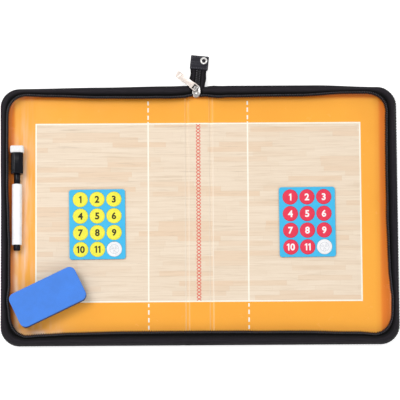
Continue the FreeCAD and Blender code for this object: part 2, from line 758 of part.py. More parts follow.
pull = new_body("pull_tab")
ring_half = "Dim.pull_ring_width / 2"
waist_half = "Dim.pull_waist_width / 2"
end_half = "Dim.pull_end_width / 2"
end_square = "(Dim.pull_length - Dim.pull_end_round)"
pad(pull, outline(sketch_on(pull, "XY_Plane"), [
    (f"-({ring_half})", "0"), (ring_half, "0"), (ring_half, "Dim.pull_ring_length"),
    (waist_half, "Dim.pull_waist_at"), (end_half, "Dim.pull_end_at"),
    (end_half, end_square, "Dim.pull_end_round"), (f"{end_half} - Dim.pull_end_round", "Dim.pull_length"),
    (f"-({end_half} - Dim.pull_end_round)", "Dim.pull_length", "Dim.pull_end_round"),
    (f"-({end_half})", end_square), (f"-({end_half})", "Dim.pull_end_at"),
    (f"-({waist_half})", "Dim.pull_waist_at"), (f"-({ring_half})", "Dim.pull_ring_length"),
]), "Dim.pull_thick", symmetric=True)
pocket(pull, outline(sketch_on(pull, "XY_Plane"),
                     rectangle("-Dim.pull_window_width / 2", "-Dim.pull_thick",
                               "Dim.pull_window_width / 2", "Dim.pull_window_length")),
       "2 * Dim.pull_thick", symmetric=True)
pad(pull, circles(sketch_on(pull, "YZ_Plane"), [("0", "0")], "Dim.pull_bar_radius"),
    "Dim.pull_ring_width", symmetric=True)
pull.Placement = tail_place.multiply(FreeCAD.Placement(
    Vec(0, num("Dim.bail_shift"), num(f"{wing_z} + Dim.pull_bar_lift")),
    FreeCAD.Rotation(Vec(0, 0, 1), num("Dim.pull_turn"))))

# Marker, turned pieces along its own +Z from the rear end, laid along +Y on the cap's flat.

marker_lay = FreeCAD.Rotation(Vec(1, 0, 0), -90)
marker_axis_z = f"({stack} + Dim.cap_across / 2)"


def lay(item):
    item.Placement = FreeCAD.Placement(Vec(), marker_lay)
    place(item, f"Dim.marker_inset - {half_width}", f"Dim.marker_foot_inset - {half_height}", marker_axis_z)


bore = "(Dim.barrel_radius - Dim.barrel_wall)"
spigot = f"({bore} - Dim.marker_fit)"
barrel_end = "(Dim.plug_length + Dim.barrel_length)"
plug_end = "(Dim.plug_length + Dim.plug_spigot)"
neck_back = f"({barrel_end} - Dim.neck_spigot)"
cap_mouth = f"({barrel_end} + Dim.neck_length)"
holder_start = f"({cap_mouth} + Dim.neck_radius - Dim.holder_radius)"
holder_end = f"({cap_mouth} + Dim.holder_length)"
holder_tip = f"({holder_end} + Dim.holder_cone)"
nib_back = f"({neck_back} - Dim.nib_tail)"
nib_tip = f"({holder_tip} + Dim.nib_reach)"
cap_end = f"({cap_mouth} + Dim.cap_length)"
nib_bore = "(Dim.nib_radius + Dim.marker_fit)"
edge = "Dim.barrel_edge_bevel"

plug = new_body("marker_end_plug")
revolve(plug, outline(sketch_on(plug, "XZ_Plane"), [
    ("0", "0"), (f"Dim.plug_radius - {edge}", "0"), ("Dim.plug_radius", edge),
    ("Dim.plug_radius", "Dim.plug_length"), (spigot, "Dim.plug_length"), (spigot, plug_end), ("0", plug_end),
]))

barrel = new_body("marker_barrel")
revolve(barrel, outline(sketch_on(barrel, "XZ_Plane"), [
    (bore, "Dim.plug_length"), (f"Dim.barrel_radius - {edge}", "Dim.plug_length"),
    ("Dim.barrel_radius", f"Dim.plug_length + {edge}"), ("Dim.barrel_radius", f"{barrel_end} - {edge}"),
    (f"Dim.barrel_radius - {edge}", barrel_end), (bore, barrel_end),
]))

holder = new_body("marker_nib_holder")
revolve(holder, outline(sketch_on(holder, "XZ_Plane"), [
    (nib_bore, neck_back), (spigot, neck_back), (spigot, barrel_end), ("Dim.neck_radius", barrel_end),
    ("Dim.neck_radius", cap_mouth), ("Dim.holder_radius", holder_start), ("Dim.holder_radius", holder_end),
    ("Dim.holder_tip_radius", holder_tip), (nib_bore, holder_tip),
]))

nib = new_body("marker_nib")
revolve(nib, outline(sketch_on(nib, "XZ_Plane"), [
    ("0", nib_back), ("Dim.nib_radius", nib_back), ("Dim.nib_radius", f"{nib_tip} - Dim.nib_radius"),
    ("Dim.nib_tip_radius", nib_tip), ("0", nib_tip),
]))

reservoir = new_body("marker_ink_reservoir")
reservoir_radius = f"({bore} - Dim.reservoir_gap)"
revolve(reservoir, outline(sketch_on(reservoir, "XZ_Plane"), [
    ("0", plug_end), (reservoir_radius, plug_end), (reservoir_radius, nib_back), ("0", nib_back),
]))

cap = new_body("marker_cap_shell")
flat = "(Dim.cap_across / 2)"
facet = "(Dim.cap_across / 2 - Dim.cap_bevel)"
pad(cap, outline(sketch_on(cap, "XY_Plane", cap_mouth), [
    (f"-{facet}", f"-{flat}"), (facet, f"-{flat}"), (flat, f"-{facet}"), (flat, facet),
    (facet, flat), (f"-{facet}", flat), (f"-{flat}", facet), (f"-{flat}", f"-{facet}"),
]), "Dim.cap_length")
pocket(cap, circles(sketch_on(cap, "XY_Plane", cap_mouth), [("0", "0")], "Dim.neck_radius + Dim.cap_fit"),
       "Dim.cap_length - Dim.cap_end_wall", reverse=True)
magnet_at = f"({cap_mouth} + Dim.cap_magnet_at)"
pocket(cap, circles(sketch_on(cap, "XZ_Plane", f"-{flat}"), [("0", magnet_at)],
                    "Dim.cap_magnet_radius + Dim.marker_fit"), "Dim.cap_magnet_thick", reverse=True)

cap_magnet = new_body("marker_cap_magnet")
magnet_sketch = sketch_on(cap_magnet, "XZ_Plane", f"-{flat}")
magnet_disc = circles(magnet_sketch, [("0", magnet_at)], "Dim.cap_magnet_radius")
pad(cap_magnet, magnet_disc, "Dim.cap_magnet_thick")

cap_felt = new_body("marker_cap_eraser")
pad(cap_felt, outline(sketch_on(cap_felt, "XY_Plane", cap_end),
                      rounded_rectangle("Dim.cap_felt_width", "Dim.cap_felt_deep", "Dim.cap_felt_round")),
    "Dim.cap_felt_length")

for item in (plug, barrel, holder, nib, reservoir, cap, cap_magnet, cap_felt):
    lay(item)

# Board eraser: foam block on a felt sheet, with a magnet let into the foam's underside.

eraser_turn = FreeCAD.Rotation(Vec(0, 0, 1), num("Dim.eraser_turn"))
felt_top = "Dim.eraser_felt_thick"

felt = new_body("eraser_felt")
felt_length = "(Dim.eraser_length - 2 * Dim.eraser_felt_inset)"
felt_width = "(Dim.eraser_width - 2 * Dim.eraser_felt_inset)"
felt_corner = "(Dim.eraser_corner - Dim.eraser_felt_inset)"
felt_plan = rounded_rectangle(felt_length, felt_width, felt_corner)
pad(felt, outline(sketch_on(felt, "XY_Plane"), felt_plan), felt_top)

foam = new_body("eraser_body")
foam_plan = rounded_rectangle("Dim.eraser_length", "Dim.eraser_width", "Dim.eraser_corner")
pad(foam, outline(sketch_on(foam, "XY_Plane", felt_top), foam_plan), "Dim.eraser_height")
magnet_length = "(Dim.eraser_magnet_length / 2)"
magnet_width = "(Dim.eraser_magnet_width / 2)"
seat_length = f"({magnet_length} + Dim.eraser_magnet_fit)"
seat_width = f"({magnet_width} + Dim.eraser_magnet_fit)"
foam_seat = pocket(foam, outline(sketch_on(foam, "XY_Plane", felt_top),
                                 rectangle(f"-{seat_length}", f"-{seat_width}", seat_length, seat_width)),
                   "Dim.eraser_magnet_thick + Dim.eraser_magnet_fit", reverse=True)
foam_top = num(f"{felt_top} + Dim.eraser_height")
bevel_edges(foam, foam_seat, "Dim.eraser_edge_bevel", lambda edge: at_height(edge, foam_top))

eraser_magnet = new_body("eraser_magnet")
pad(eraser_magnet, outline(sketch_on(eraser_magnet, "XY_Plane", felt_top),
                           rectangle(f"-{magnet_length}", f"-{magnet_width}", magnet_length, magnet_width)),
    "Dim.eraser_magnet_thick")

for item in (felt, foam, eraser_magnet):
    item.Placement = FreeCAD.Placement(Vec(), eraser_turn)
    place(item, f"Dim.eraser_inset - {half_width}", f"Dim.eraser_foot_inset - {half_height}", stack)

# Die-cut cards, each holding three columns and four rows of magnet tokens.

columns = (-1, 0, 1)
rows = (1.5, 0.5, -0.5, -1.5)
token_grid = [(row, column) for row in rows for column in columns]
# Each card lies near the middle of its own cover, and is set out from the foot as the eraser is.
card_x = {
    "yellow": "(Dim.yellow_card_shift - Dim.case_width / 4)",
    "red": "(Dim.red_card_shift + Dim.case_width / 4)",
}
card_y = {team: f"(Dim.{team}_card_foot_inset - {half_height})" for team in card_x}


def token_card(team):
    card = new_body(f"{team}_token_card")
    plan = rounded_rectangle("Dim.card_width", "Dim.card_height", "Dim.card_corner")
    pad(card, outline(sketch_on(card, "XY_Plane"), plan), "Dim.token_thick")
    spots = [(f"{column} * Dim.token_pitch", f"{row} * Dim.token_pitch") for row, column in token_grid]
    holes = circles(sketch_on(card, "XY_Plane"), spots, "Dim.token_radius + Dim.diecut_clearance")
    pocket(card, holes, "Dim.token_thick", reverse=True)
    card.Placement = FreeCAD.Placement(Vec(), FreeCAD.Rotation(Vec(0, 0, 1), num(f"Dim.{team}_card_turn")))
    place(card, card_x[team], card_y[team], stack)


def token(team, label, column, row):
    disc = new_body(f"{team}_{label}")
    pad(disc, circles(sketch_on(disc, "XY_Plane"), [("0", "0")], "Dim.token_radius"), "Dim.token_thick")
    turn = f"Dim.{team}_card_turn"
    disc.Placement = FreeCAD.Placement(Vec(), FreeCAD.Rotation(Vec(0, 0, 1), num(turn)))
    place(disc,
          f"{card_x[team]} + Dim.token_pitch * ({column} * cos({turn}) - {row} * sin({turn}))",
          f"{card_y[team]} + Dim.token_pitch * ({column} * sin({turn}) + {row} * cos({turn}))",
          stack)


for team in ("yellow", "red"):
    token_card(team)
    for number, (row, column) in enumerate(token_grid, start=1):
        label = "ball_token" if number == len(token_grid) else f"token_{number:02d}"
        token(team, label, column, row)

doc.recompute()

# Every object must be sound before anything is written.
for item in doc.Objects:
    if "Invalid" in item.State or "Error" in item.State:
        raise RuntimeError(f"{item.Label} failed: {item.State}")
    if item.TypeId == "PartDesign::Pocket":
        before = item.BaseFeature.Shape.Volume
        if item.Shape.Volume > before - tiny:
            raise RuntimeError(f"{item.Label} cuts nothing")
for item in parts:
    if item.Shape.isNull() or not item.Shape.isValid():
        raise RuntimeError(f"{item.Label} has no valid shape")

os.makedirs("parts", exist_ok=True)
for item in parts:
    item.Shape.exportStep(f"parts/{item.Label}.step")
    print(f"{item.Label}: {len(item.Shape.Solids)} solid, {item.Shape.Volume / 1000:.2f} cm3")
print(len(parts), "parts")
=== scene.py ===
import bmesh
import bpy
import math
from mathutils import Matrix, Vector, noise


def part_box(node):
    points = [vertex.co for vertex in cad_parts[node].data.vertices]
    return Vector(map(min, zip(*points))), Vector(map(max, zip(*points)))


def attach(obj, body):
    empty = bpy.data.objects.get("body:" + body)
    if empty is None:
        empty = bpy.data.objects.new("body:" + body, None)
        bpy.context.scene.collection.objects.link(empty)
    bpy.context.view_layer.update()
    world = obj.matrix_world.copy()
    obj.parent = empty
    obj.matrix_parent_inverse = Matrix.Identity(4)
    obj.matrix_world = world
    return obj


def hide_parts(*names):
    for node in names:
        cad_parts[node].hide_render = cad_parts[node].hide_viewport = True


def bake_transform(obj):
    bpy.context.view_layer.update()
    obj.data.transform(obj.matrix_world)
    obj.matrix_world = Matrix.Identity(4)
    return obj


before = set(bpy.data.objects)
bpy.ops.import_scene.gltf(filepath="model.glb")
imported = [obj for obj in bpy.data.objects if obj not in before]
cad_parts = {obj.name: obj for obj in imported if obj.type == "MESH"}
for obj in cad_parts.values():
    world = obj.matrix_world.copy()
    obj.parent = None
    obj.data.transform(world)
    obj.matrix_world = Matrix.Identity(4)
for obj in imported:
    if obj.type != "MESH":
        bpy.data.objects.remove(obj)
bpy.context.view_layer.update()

mm = 0.001
scene = bpy.context.scene
scene.view_settings.view_transform = 'Standard'

# the open case, mm, same frame as the solids: x across, y towards the zip tail, z up
case = {
    "halfWidth": 230.0,
    "halfHeight": 150.0,
    "corner": 22.0,
    "crease": 14.0,
    "creaseSpan": (11.8, 16.2),     # span across the crease where the real case's skin and liner fold
    "floor": 4.0,       # top of the printed liner
    "cornerSteps": 14,
}
sides = ((-1, "left"), (1, "right"))


def ease(t):
    t = min(max(t, 0.0), 1.0)
    return t * t * (3 - 2 * t)


def blendTo(a, b, t):
    return a + (b - a) * t


def bell(x, middle, width):
    return math.exp(-((x - middle) / width) ** 2)


def srgb(r, g, b):
    def line(c):
        c = c / 255
        return c / 12.92 if c <= 0.04045 else ((c + 0.055) / 1.055) ** 2.4
    return (line(r), line(g), line(b))


def tint(colour, by):
    return tuple(min(max(c * by, 0), 1) for c in colour)


def addMaterial(name, colour, rough, gloss=0.5, metal=0.0, sheen=(0.0, 0.5)):
    mat = bpy.data.materials.new(name)
    mat.use_nodes = True
    mat.diffuse_color = (*colour, 1)
    shader = mat.node_tree.nodes["Principled BSDF"]
    for key, value in (("Base Color", (*colour, 1)), ("Roughness", rough), ("Specular IOR Level", gloss),
                       ("Metallic", metal), ("Sheen Weight", sheen[0]), ("Sheen Roughness", sheen[1])):
        shader.inputs[key].default_value = value
    return mat, mat.node_tree, shader


def addNode(tree, kind, inputs=None, **settings):
    node = tree.nodes.new("ShaderNode" + kind)
    for key, value in settings.items():
        setattr(node, key, value)
    for key, value in (inputs or {}).items():
        node.inputs[key].default_value = value
    return node


def feed(tree, socket, value):
    # number, colour or another node's output
    if isinstance(value, (int, float)):
        socket.default_value = value
    elif isinstance(value, tuple):
        socket.default_value = (*value, 1)
    else:
        tree.links.new(value, socket)


def placeCoords(tree, attribute=None):
    # object space, or a point attribute that keeps the flat layout when the piece bends
    if attribute:
        return addNode(tree, "Attribute", attribute_name=attribute).outputs["Vector"]
    return addNode(tree, "TexCoord").outputs["Object"]


def pointValue(tree, attribute):
    return addNode(tree, "Attribute", attribute_name=attribute).outputs["Fac"]


def axesOf(tree, coords):
    node = addNode(tree, "SeparateXYZ")
    feed(tree, node.inputs["Vector"], coords)
    return node.outputs["X"], node.outputs["Y"], node.outputs["Z"]


def stretched(tree, coords, scale, turn=(0, 0, 0)):
    mapping = addNode(tree, "Mapping", {"Scale": scale, "Rotation": turn})
    feed(tree, mapping.inputs["Vector"], coords)
    return mapping.outputs["Vector"]


def textureAt(tree, kind, coords, inputs, **settings):
    node = addNode(tree, "Tex" + kind, inputs, **settings)
    feed(tree, node.inputs["Vector"], coords)
    return node.outputs


def noiseAt(tree, coords, scale, detail=4.0, rough=0.55):
    return textureAt(tree, "Noise", coords, {"Scale": scale, "Detail": detail, "Roughness": rough})["Fac"]


def ramp(tree, value, stops):
    node = addNode(tree, "ValToRGB")
    first, last = node.color_ramp.elements[0], node.color_ramp.elements[1]
    first.position, first.color = stops[0][0], (*stops[0][1], 1)
    last.position, last.color = stops[-1][0], (*stops[-1][1], 1)
    for spot, colour in stops[1:-1]:
        item = node.color_ramp.elements.new(spot)
        item.color = (*colour, 1)
    feed(tree, node.inputs["Fac"], value)
    return node.outputs["Color"]


def mottle(tree, value, colour, dark, light, low=0.3, high=0.7):
    # one colour, darker and lighter by the value
    return ramp(tree, value, [(low, tint(colour, dark)), (high, tint(colour, light))])


def spread(tree, value, low, high, fromLow=0.3, fromHigh=0.7):
    node = addNode(tree, "MapRange", {
        "From Min": fromLow, "From Max": fromHigh, "To Min": low, "To Max": high})
    feed(tree, node.inputs["Value"], value)
    return node.outputs["Result"]


def joinMath(tree, mode, a, b=0.0):
    node = addNode(tree, "Math", operation=mode)
    feed(tree, node.inputs[0], a)
    feed(tree, node.inputs[1], b)
    return node.outputs["Value"]


def product(tree, a, b):
    return joinMath(tree, "MULTIPLY", a, b)


def larger(tree, a, b):
    return joinMath(tree, "MAXIMUM", a, b)


def mixColours(tree, share, a, b):
    node = addNode(tree, "Mix", data_type="RGBA")
    for spot, value in ((0, share), (6, a), (7, b)):    # the node's sockets for colours
        feed(tree, node.inputs[spot], value)
    return node.outputs[2]


def bumpInto(tree, shader, height, distance, strength=1.0, before=None):
    node = addNode(tree, "Bump", {"Distance": distance, "Strength": strength})
    feed(tree, node.inputs["Height"], height)
    if before is not None:
        feed(tree, node.inputs["Normal"], before)
    feed(tree, shader.inputs["Normal"], node.outputs["Normal"])
    return node.outputs["Normal"]


# leatherette of the outside: fine pebble grain, mottled tone, rougher on its folds
def leatherFinish(name, colour, grain=900.0, rough=0.36, crumple=0.0):
    mat, tree, shader = addMaterial(name, colour, 0.5, 0.28)
    coords = placeCoords(tree)
    cells = textureAt(tree, "Voronoi", coords, {"Scale": grain, "Randomness": 0.9})["Distance"]
    folds = noiseAt(tree, coords, grain * 0.45, 5.0)
    body = mottle(tree, noiseAt(tree, coords, 60.0, 3.0), colour, 0.75, 1.35)
    feed(tree, shader.inputs["Base Color"], body)
    feed(tree, shader.inputs["Roughness"], spread(tree, folds, rough, rough + 0.24))
    under = None
    if crumple:
        dents = textureAt(tree, "Wave", coords, {
            "Scale": 42.0, "Distortion": 5.0, "Detail": 2.0, "Detail Scale": 1.4}, bands_direction="Y")
        under = bumpInto(tree, shader, dents["Fac"], crumple)
    bumpInto(tree, shader, joinMath(tree, "SUBTRACT", folds, cells), 0.00022, 0.8, under)
    return mat


# painted glare streaks and loose, bellied places of the printed sheet, m: where each mark starts and where it
# is full or gone
glareAndBelly = {
    "bandIn": (-0.216, -0.205), "bandOut": (-0.202, -0.188),    # x
    "bandHead": (0.118, 0.07), "bandFoot": (-0.1, -0.04),       # y
    "cornerX": (-0.196, -0.15), "cornerY": (-0.134, -0.108),
    "looseX": (-0.222, -0.188), "footX": (-0.19, -0.09), "footY": (-0.142, -0.116),
    "belly": 0.008,
}


# printed vinyl field: even orange, a little mottled, paler along the pressed creases, partly whitened vinyl
# and partly a painted highlight on the crease lips
def vinylFinish(name, colour, tones):
    mat, tree, shader = addMaterial(name, colour, 0.24, 0.25)
    coords = placeCoords(tree, "plan")
    x, y = axesOf(tree, coords)[:2]
    body = mottle(tree, noiseAt(tree, coords, 14.0, 3.0), colour, 0.96, 1.03)
    grit = noiseAt(tree, coords, 420.0, 2.0)
    body = mixColours(tree, spread(tree, grit, 0.0, 0.06), body, tint(colour, 0.8))
    # painted shade where the sheet rolls up under the tape at the edges
    body = mixColours(tree, pointValue(tree, "rim"), body, tones["rim"])
    # painted highlight: pale glare streaks on the left margin beside the marker, in the lower-left corner by
    # the eraser and along the left roll
    streak = noiseAt(tree, stretched(tree, coords, (190.0, 17.0, 1.0), (0, 0, 0.03)), 1.0, 2.0)
    band = product(tree, spread(tree, x, 0.0, 1.0, *glareAndBelly["bandIn"]),
                   spread(tree, x, 1.0, 0.0, *glareAndBelly["bandOut"]))
    reach = product(tree, spread(tree, y, 0.25, 1.0, *glareAndBelly["bandHead"]),
                    spread(tree, y, 0.35, 1.0, *glareAndBelly["bandFoot"]))
    band = product(tree, product(tree, band, spread(tree, streak, 0.08, 0.75, 0.36, 0.66)), reach)
    corner = product(tree, spread(tree, y, 0.75, 0.0, *glareAndBelly["cornerY"]),
                     spread(tree, x, 1.0, 0.0, *glareAndBelly["cornerX"]))
    corner = product(tree, corner, spread(tree, streak, 0.0, 0.45, 0.36, 0.62))
    patches = noiseAt(tree, stretched(tree, coords, (70.0, 24.0, 1.0)), 1.0, 2.0)
    roll = product(tree, pointValue(tree, "glare"), spread(tree, patches, 0.35, 1.0, 0.38, 0.6))
    body = mixColours(tree, larger(tree, larger(tree, band, corner), roll), body, tones["paintedGlare"])
    # paler along the creases: partly whitened vinyl, partly a painted highlight on the crease lips
    body = mixColours(tree, pointValue(tree, "worn"), body, tones["pale"])
    feed(tree, shader.inputs["Base Color"], body)
    feed(tree, shader.inputs["Roughness"], spread(tree, noiseAt(tree, coords, 90.0), 0.2, 0.28))
    # the left margin bellies a little where the sheet isn't glued flat, which catches the side light
    margin = joinMath(tree, "POWER", spread(tree, x, 1.0, 0.0, *glareAndBelly["looseX"]), 2.0)
    foot = joinMath(tree, "POWER", spread(tree, y, 0.8, 0.0, *glareAndBelly["footY"]), 2.0)
    foot = product(tree, foot, spread(tree, x, 1.0, 0.0, *glareAndBelly["footX"]))
    ripple = noiseAt(tree, stretched(tree, coords, (26.0, 9.0, 1.0)), 1.0, 1.0)
    loose = product(tree, joinMath(tree, "ADD", margin, foot), spread(tree, ripple, 0.4, 1.5, 0.25, 0.75))
    broad = bumpInto(tree, shader, loose, glareAndBelly["belly"])
    bumpInto(tree, shader, noiseAt(tree, coords, 260.0, 2.0), 0.00003, 0.35, broad)
    return mat


# planks of the court print, m
planks = {
    "row": 0.0058, "length": 0.062, "block": 0.031, "joint": 0.00012,
    "slide": 0.047, "slideTurn": 2.4,       # how far a row slides, and the turn from row to row
}


# court print: planks along x in light maple with drawn-out grain
def plankFinish(name, tones):
    mat, tree, shader = addMaterial(name, tones["middle"], 0.38, 0.23)
    coords = placeCoords(tree, "plan")
    # each row slides along by its own amount, so that joints don't line up
    x, y = axesOf(tree, coords)[:2]
    row = joinMath(tree, "FLOOR", joinMath(tree, "DIVIDE", y, planks["row"]))
    slide = product(tree, joinMath(tree, "SINE", product(tree, row, planks["slideTurn"])), planks["slide"])
    placed = addNode(tree, "CombineXYZ")
    feed(tree, placed.inputs["X"], joinMath(tree, "ADD", x, slide))
    feed(tree, placed.inputs["Y"], y)

    def bricks(colours, length, joint, **settings):
        sizes = {"Scale": 1.0, "Mortar Size": 0.0, "Brick Width": length, "Row Height": planks["row"]}
        sizes.update(joint)
        for key, colour in zip(("Color1", "Color2", "Mortar"), colours):
            sizes[key] = (*colour, 1)
        return textureAt(tree, "Brick", placed.outputs["Vector"], sizes, **settings)["Color"]

    staggered = {"offset": 0.37, "offset_frequency": 3, "squash": 0.8, "squash_frequency": 5}
    black, grey, white = (0, 0, 0), (0.5, 0.5, 0.5), (1, 1, 1)
    strips = bricks((tones["light"], tones["dull"], tones["vein"]), planks["length"],
                    {"Mortar Size": planks["joint"], "Mortar Smooth": 0.6, "Bias": -0.1}, **staggered)
    picked = bricks((black, white, black), planks["length"], {}, **staggered)
    blocks = bricks((white, black, grey), planks["block"], {}, offset=0.21, offset_frequency=2)
    grain = noiseAt(tree, stretched(tree, coords, (18.0, 420.0, 1.0)), 1.0, 5.0, 0.62)
    fibre = noiseAt(tree, stretched(tree, coords, (60.0, 1600.0, 1.0)), 1.0, 3.0)
    streak = noiseAt(tree, stretched(tree, coords, (13.0, 300.0, 1.0), (0, 0, 0.012)), 1.0, 4.0, 0.7)
    veins = ramp(tree, grain, [(0.32, tones["vein"]), (0.5, tones["middle"]), (0.72, tones["light"])])
    body = mixColours(tree, 0.5, strips, veins)
    body = mixColours(tree, spread(tree, picked, 0.0, 0.5, 0.62, 0.95), body, tones["warm"])
    body = mixColours(tree, spread(tree, blocks, 0.0, 0.2, 0.0, 1.0), body, tones["dull"])
    body = mixColours(tree, spread(tree, fibre, 0.0, 0.18), body, tones["vein"])
    body = mixColours(tree, spread(tree, streak, 0.0, 0.6, 0.6, 0.74), body, tones["streak"])
    # paler along the creases: partly whitened print, partly a painted highlight
    body = mixColours(tree, pointValue(tree, "worn"), body, tones["pale"])
    feed(tree, shader.inputs["Base Color"], body)
    feed(tree, shader.inputs["Roughness"], spread(tree, grain, 0.33, 0.43))
    bumpInto(tree, shader, noiseAt(tree, coords, 260.0, 3.0), 0.00006, 0.5)
    return mat


# flat inks and magnet sheet: screen-print speckle and a satin skin
def inkFinish(name, colour, rough=0.42, attribute=None, speck=0.1):
    mat, tree, shader = addMaterial(name, colour, rough, 0.22)
    coords = placeCoords(tree, attribute)
    speckle = noiseAt(tree, coords, 1500.0, 2.0)
    cloud = noiseAt(tree, coords, 120.0, 3.0)
    body = mottle(tree, cloud, colour, 0.95, 1.03)
    body = mixColours(tree, spread(tree, speckle, 0.0, speck), body, tint(colour, 0.82))
    feed(tree, shader.inputs["Base Color"], body)
    feed(tree, shader.inputs["Roughness"], spread(tree, cloud, rough - 0.06, rough + 0.06))
    bumpInto(tree, shader, speckle, 0.00004, 0.5)
    return mat


# woven zip tape: fine twill that follows the tape
def tapeFinish(name, colour):
    mat, tree, shader = addMaterial(name, colour, 0.7, 0.1, sheen=(0.03, 0.5))
    coords = placeCoords(tree, "weave")
    share = axesOf(tree, coords)[2]     # across the tape, 0 at the sewn edge
    twill = stretched(tree, coords, (1, 1, 1), (0, 0, 0.7))
    ribs = textureAt(tree, "Wave", twill, {"Scale": 820.0, "Distortion": 0.3, "Detail": 1.0})["Fac"]
    wales = textureAt(tree, "Wave", coords, {"Scale": 560.0, "Distortion": 0.2, "Detail": 1.0},
                      bands_direction="Y")["Fac"]
    height = joinMath(tree, "ADD", ribs, wales)
    lint = noiseAt(tree, coords, 330.0, 5.0, 0.65)
    body = mottle(tree, lint, colour, 0.35, 1.9, 0.34, 0.66)
    body = mixColours(tree, spread(tree, height, 0.0, 0.4, 0.2, 1.8), body, tint(colour, 2.2))
    # crown lightened as a painted highlight, groove beside the teeth darkened as painted shade
    crownHighlight = product(tree, spread(tree, share, 0.0, 0.8, 0.26, 0.42),
                    spread(tree, share, 1.0, 0.0, 0.48, 0.58))
    fade = spread(tree, noiseAt(tree, coords, 60.0, 3.0), 0.35, 1.0, 0.36, 0.62)
    body = mixColours(tree, product(tree, crownHighlight, fade), body, tint(colour, 4.6))
    grooveShade = product(tree, spread(tree, share, 0.0, 1.0, 0.6, 0.68),
                     spread(tree, share, 1.0, 0.7, 0.82, 0.9))
    body = mixColours(tree, grooveShade, body, tint(colour, 0.08))
    feed(tree, shader.inputs["Base Color"], body)
    bumpInto(tree, shader, height, 0.00018, 0.7)
    return mat


# plain mouldings: slight sink and handling marks; teeth also get painted shade towards their tips
def plasticFinish(name, colour, rough, mark=0.06, gloss=0.5, tip=None):
    mat, tree, shader = addMaterial(name, colour, rough, gloss)
    coords = placeCoords(tree)
    cloud = noiseAt(tree, coords, 85.0, 4.0)
    body = mottle(tree, cloud, colour, 0.93, 1.06)
    if tip:
        body = mixColours(tree, spread(tree, pointValue(tree, "tip"), 0.0, 1.0, 0.3, 0.5), body, tip)
    feed(tree, shader.inputs["Base Color"], body)
    rub = noiseAt(tree, stretched(tree, coords, (900, 160, 900)), 1.0, 3.0)
    feed(tree, shader.inputs["Roughness"], spread(tree, rub, rough - mark, rough + mark))
    bumpInto(tree, shader, cloud, 0.00003, 0.6)
    return mat


# plated metal with faint brushing and rubbed patches
def platedFinish(name, colour, rough=0.16, metal=1.0):
    mat, tree, shader = addMaterial(name, colour, rough, metal=metal)
    coords = placeCoords(tree)
    brush = noiseAt(tree, stretched(tree, coords, (2600, 320, 2600)), 1.0, 3.0)
    body = mottle(tree, noiseAt(tree, coords, 260.0, 3.0), colour, 0.86, 1.05)
    feed(tree, shader.inputs["Base Color"], body)
    feed(tree, shader.inputs["Roughness"], spread(tree, brush, rough - 0.06, rough + 0.12))
    bumpInto(tree, shader, brush, 0.00001, 0.4)
    return mat


# pressed wool felt: fibre fuzz
def feltFinish(name, colour):
    mat, tree, shader = addMaterial(name, colour, 0.95, 0.2, sheen=(0.4, 0.6))
    coords = placeCoords(tree)
    fuzz = noiseAt(tree, stretched(tree, coords, (1800, 700, 1800)), 1.0, 6.0, 0.7)
    tufts = noiseAt(tree, coords, 420.0, 4.0)
    feed(tree, shader.inputs["Base Color"], mottle(tree, fuzz, colour, 0.8, 1.08))
    bumpInto(tree, shader, joinMath(tree, "ADD", fuzz, tufts), 0.0004, 0.7)
    return mat


# closed-cell foam: small pores and a cut skin, with painted shade darkening the sides towards the foot
def foamFinish(name, colour, shadeFrom=0.0215, shadeFull=0.011):
    mat, tree, shader = addMaterial(name, colour, 0.62, 0.17)
    coords = placeCoords(tree)
    height = axesOf(tree, coords)[2]
    pores = textureAt(tree, "Voronoi", coords, {"Scale": 1300.0})["Distance"]
    cloud = noiseAt(tree, coords, 70.0, 3.0)
    body = mottle(tree, cloud, colour, 0.93, 1.06)
    body = mixColours(tree, spread(tree, pores, 0.0, 0.22, 0.2, 0.8), body, tint(colour, 0.72))
    # painted shade: sides darker towards the foot
    body = mixColours(tree, spread(tree, height, 0.9, 0.0, shadeFull, shadeFrom), body, tint(colour, 0.12))
    feed(tree, shader.inputs["Base Color"], body)
    feed(tree, shader.inputs["Roughness"], spread(tree, cloud, 0.52, 0.72))
    bumpInto(tree, shader, pores, 0.00016, 0.5)
    return mat


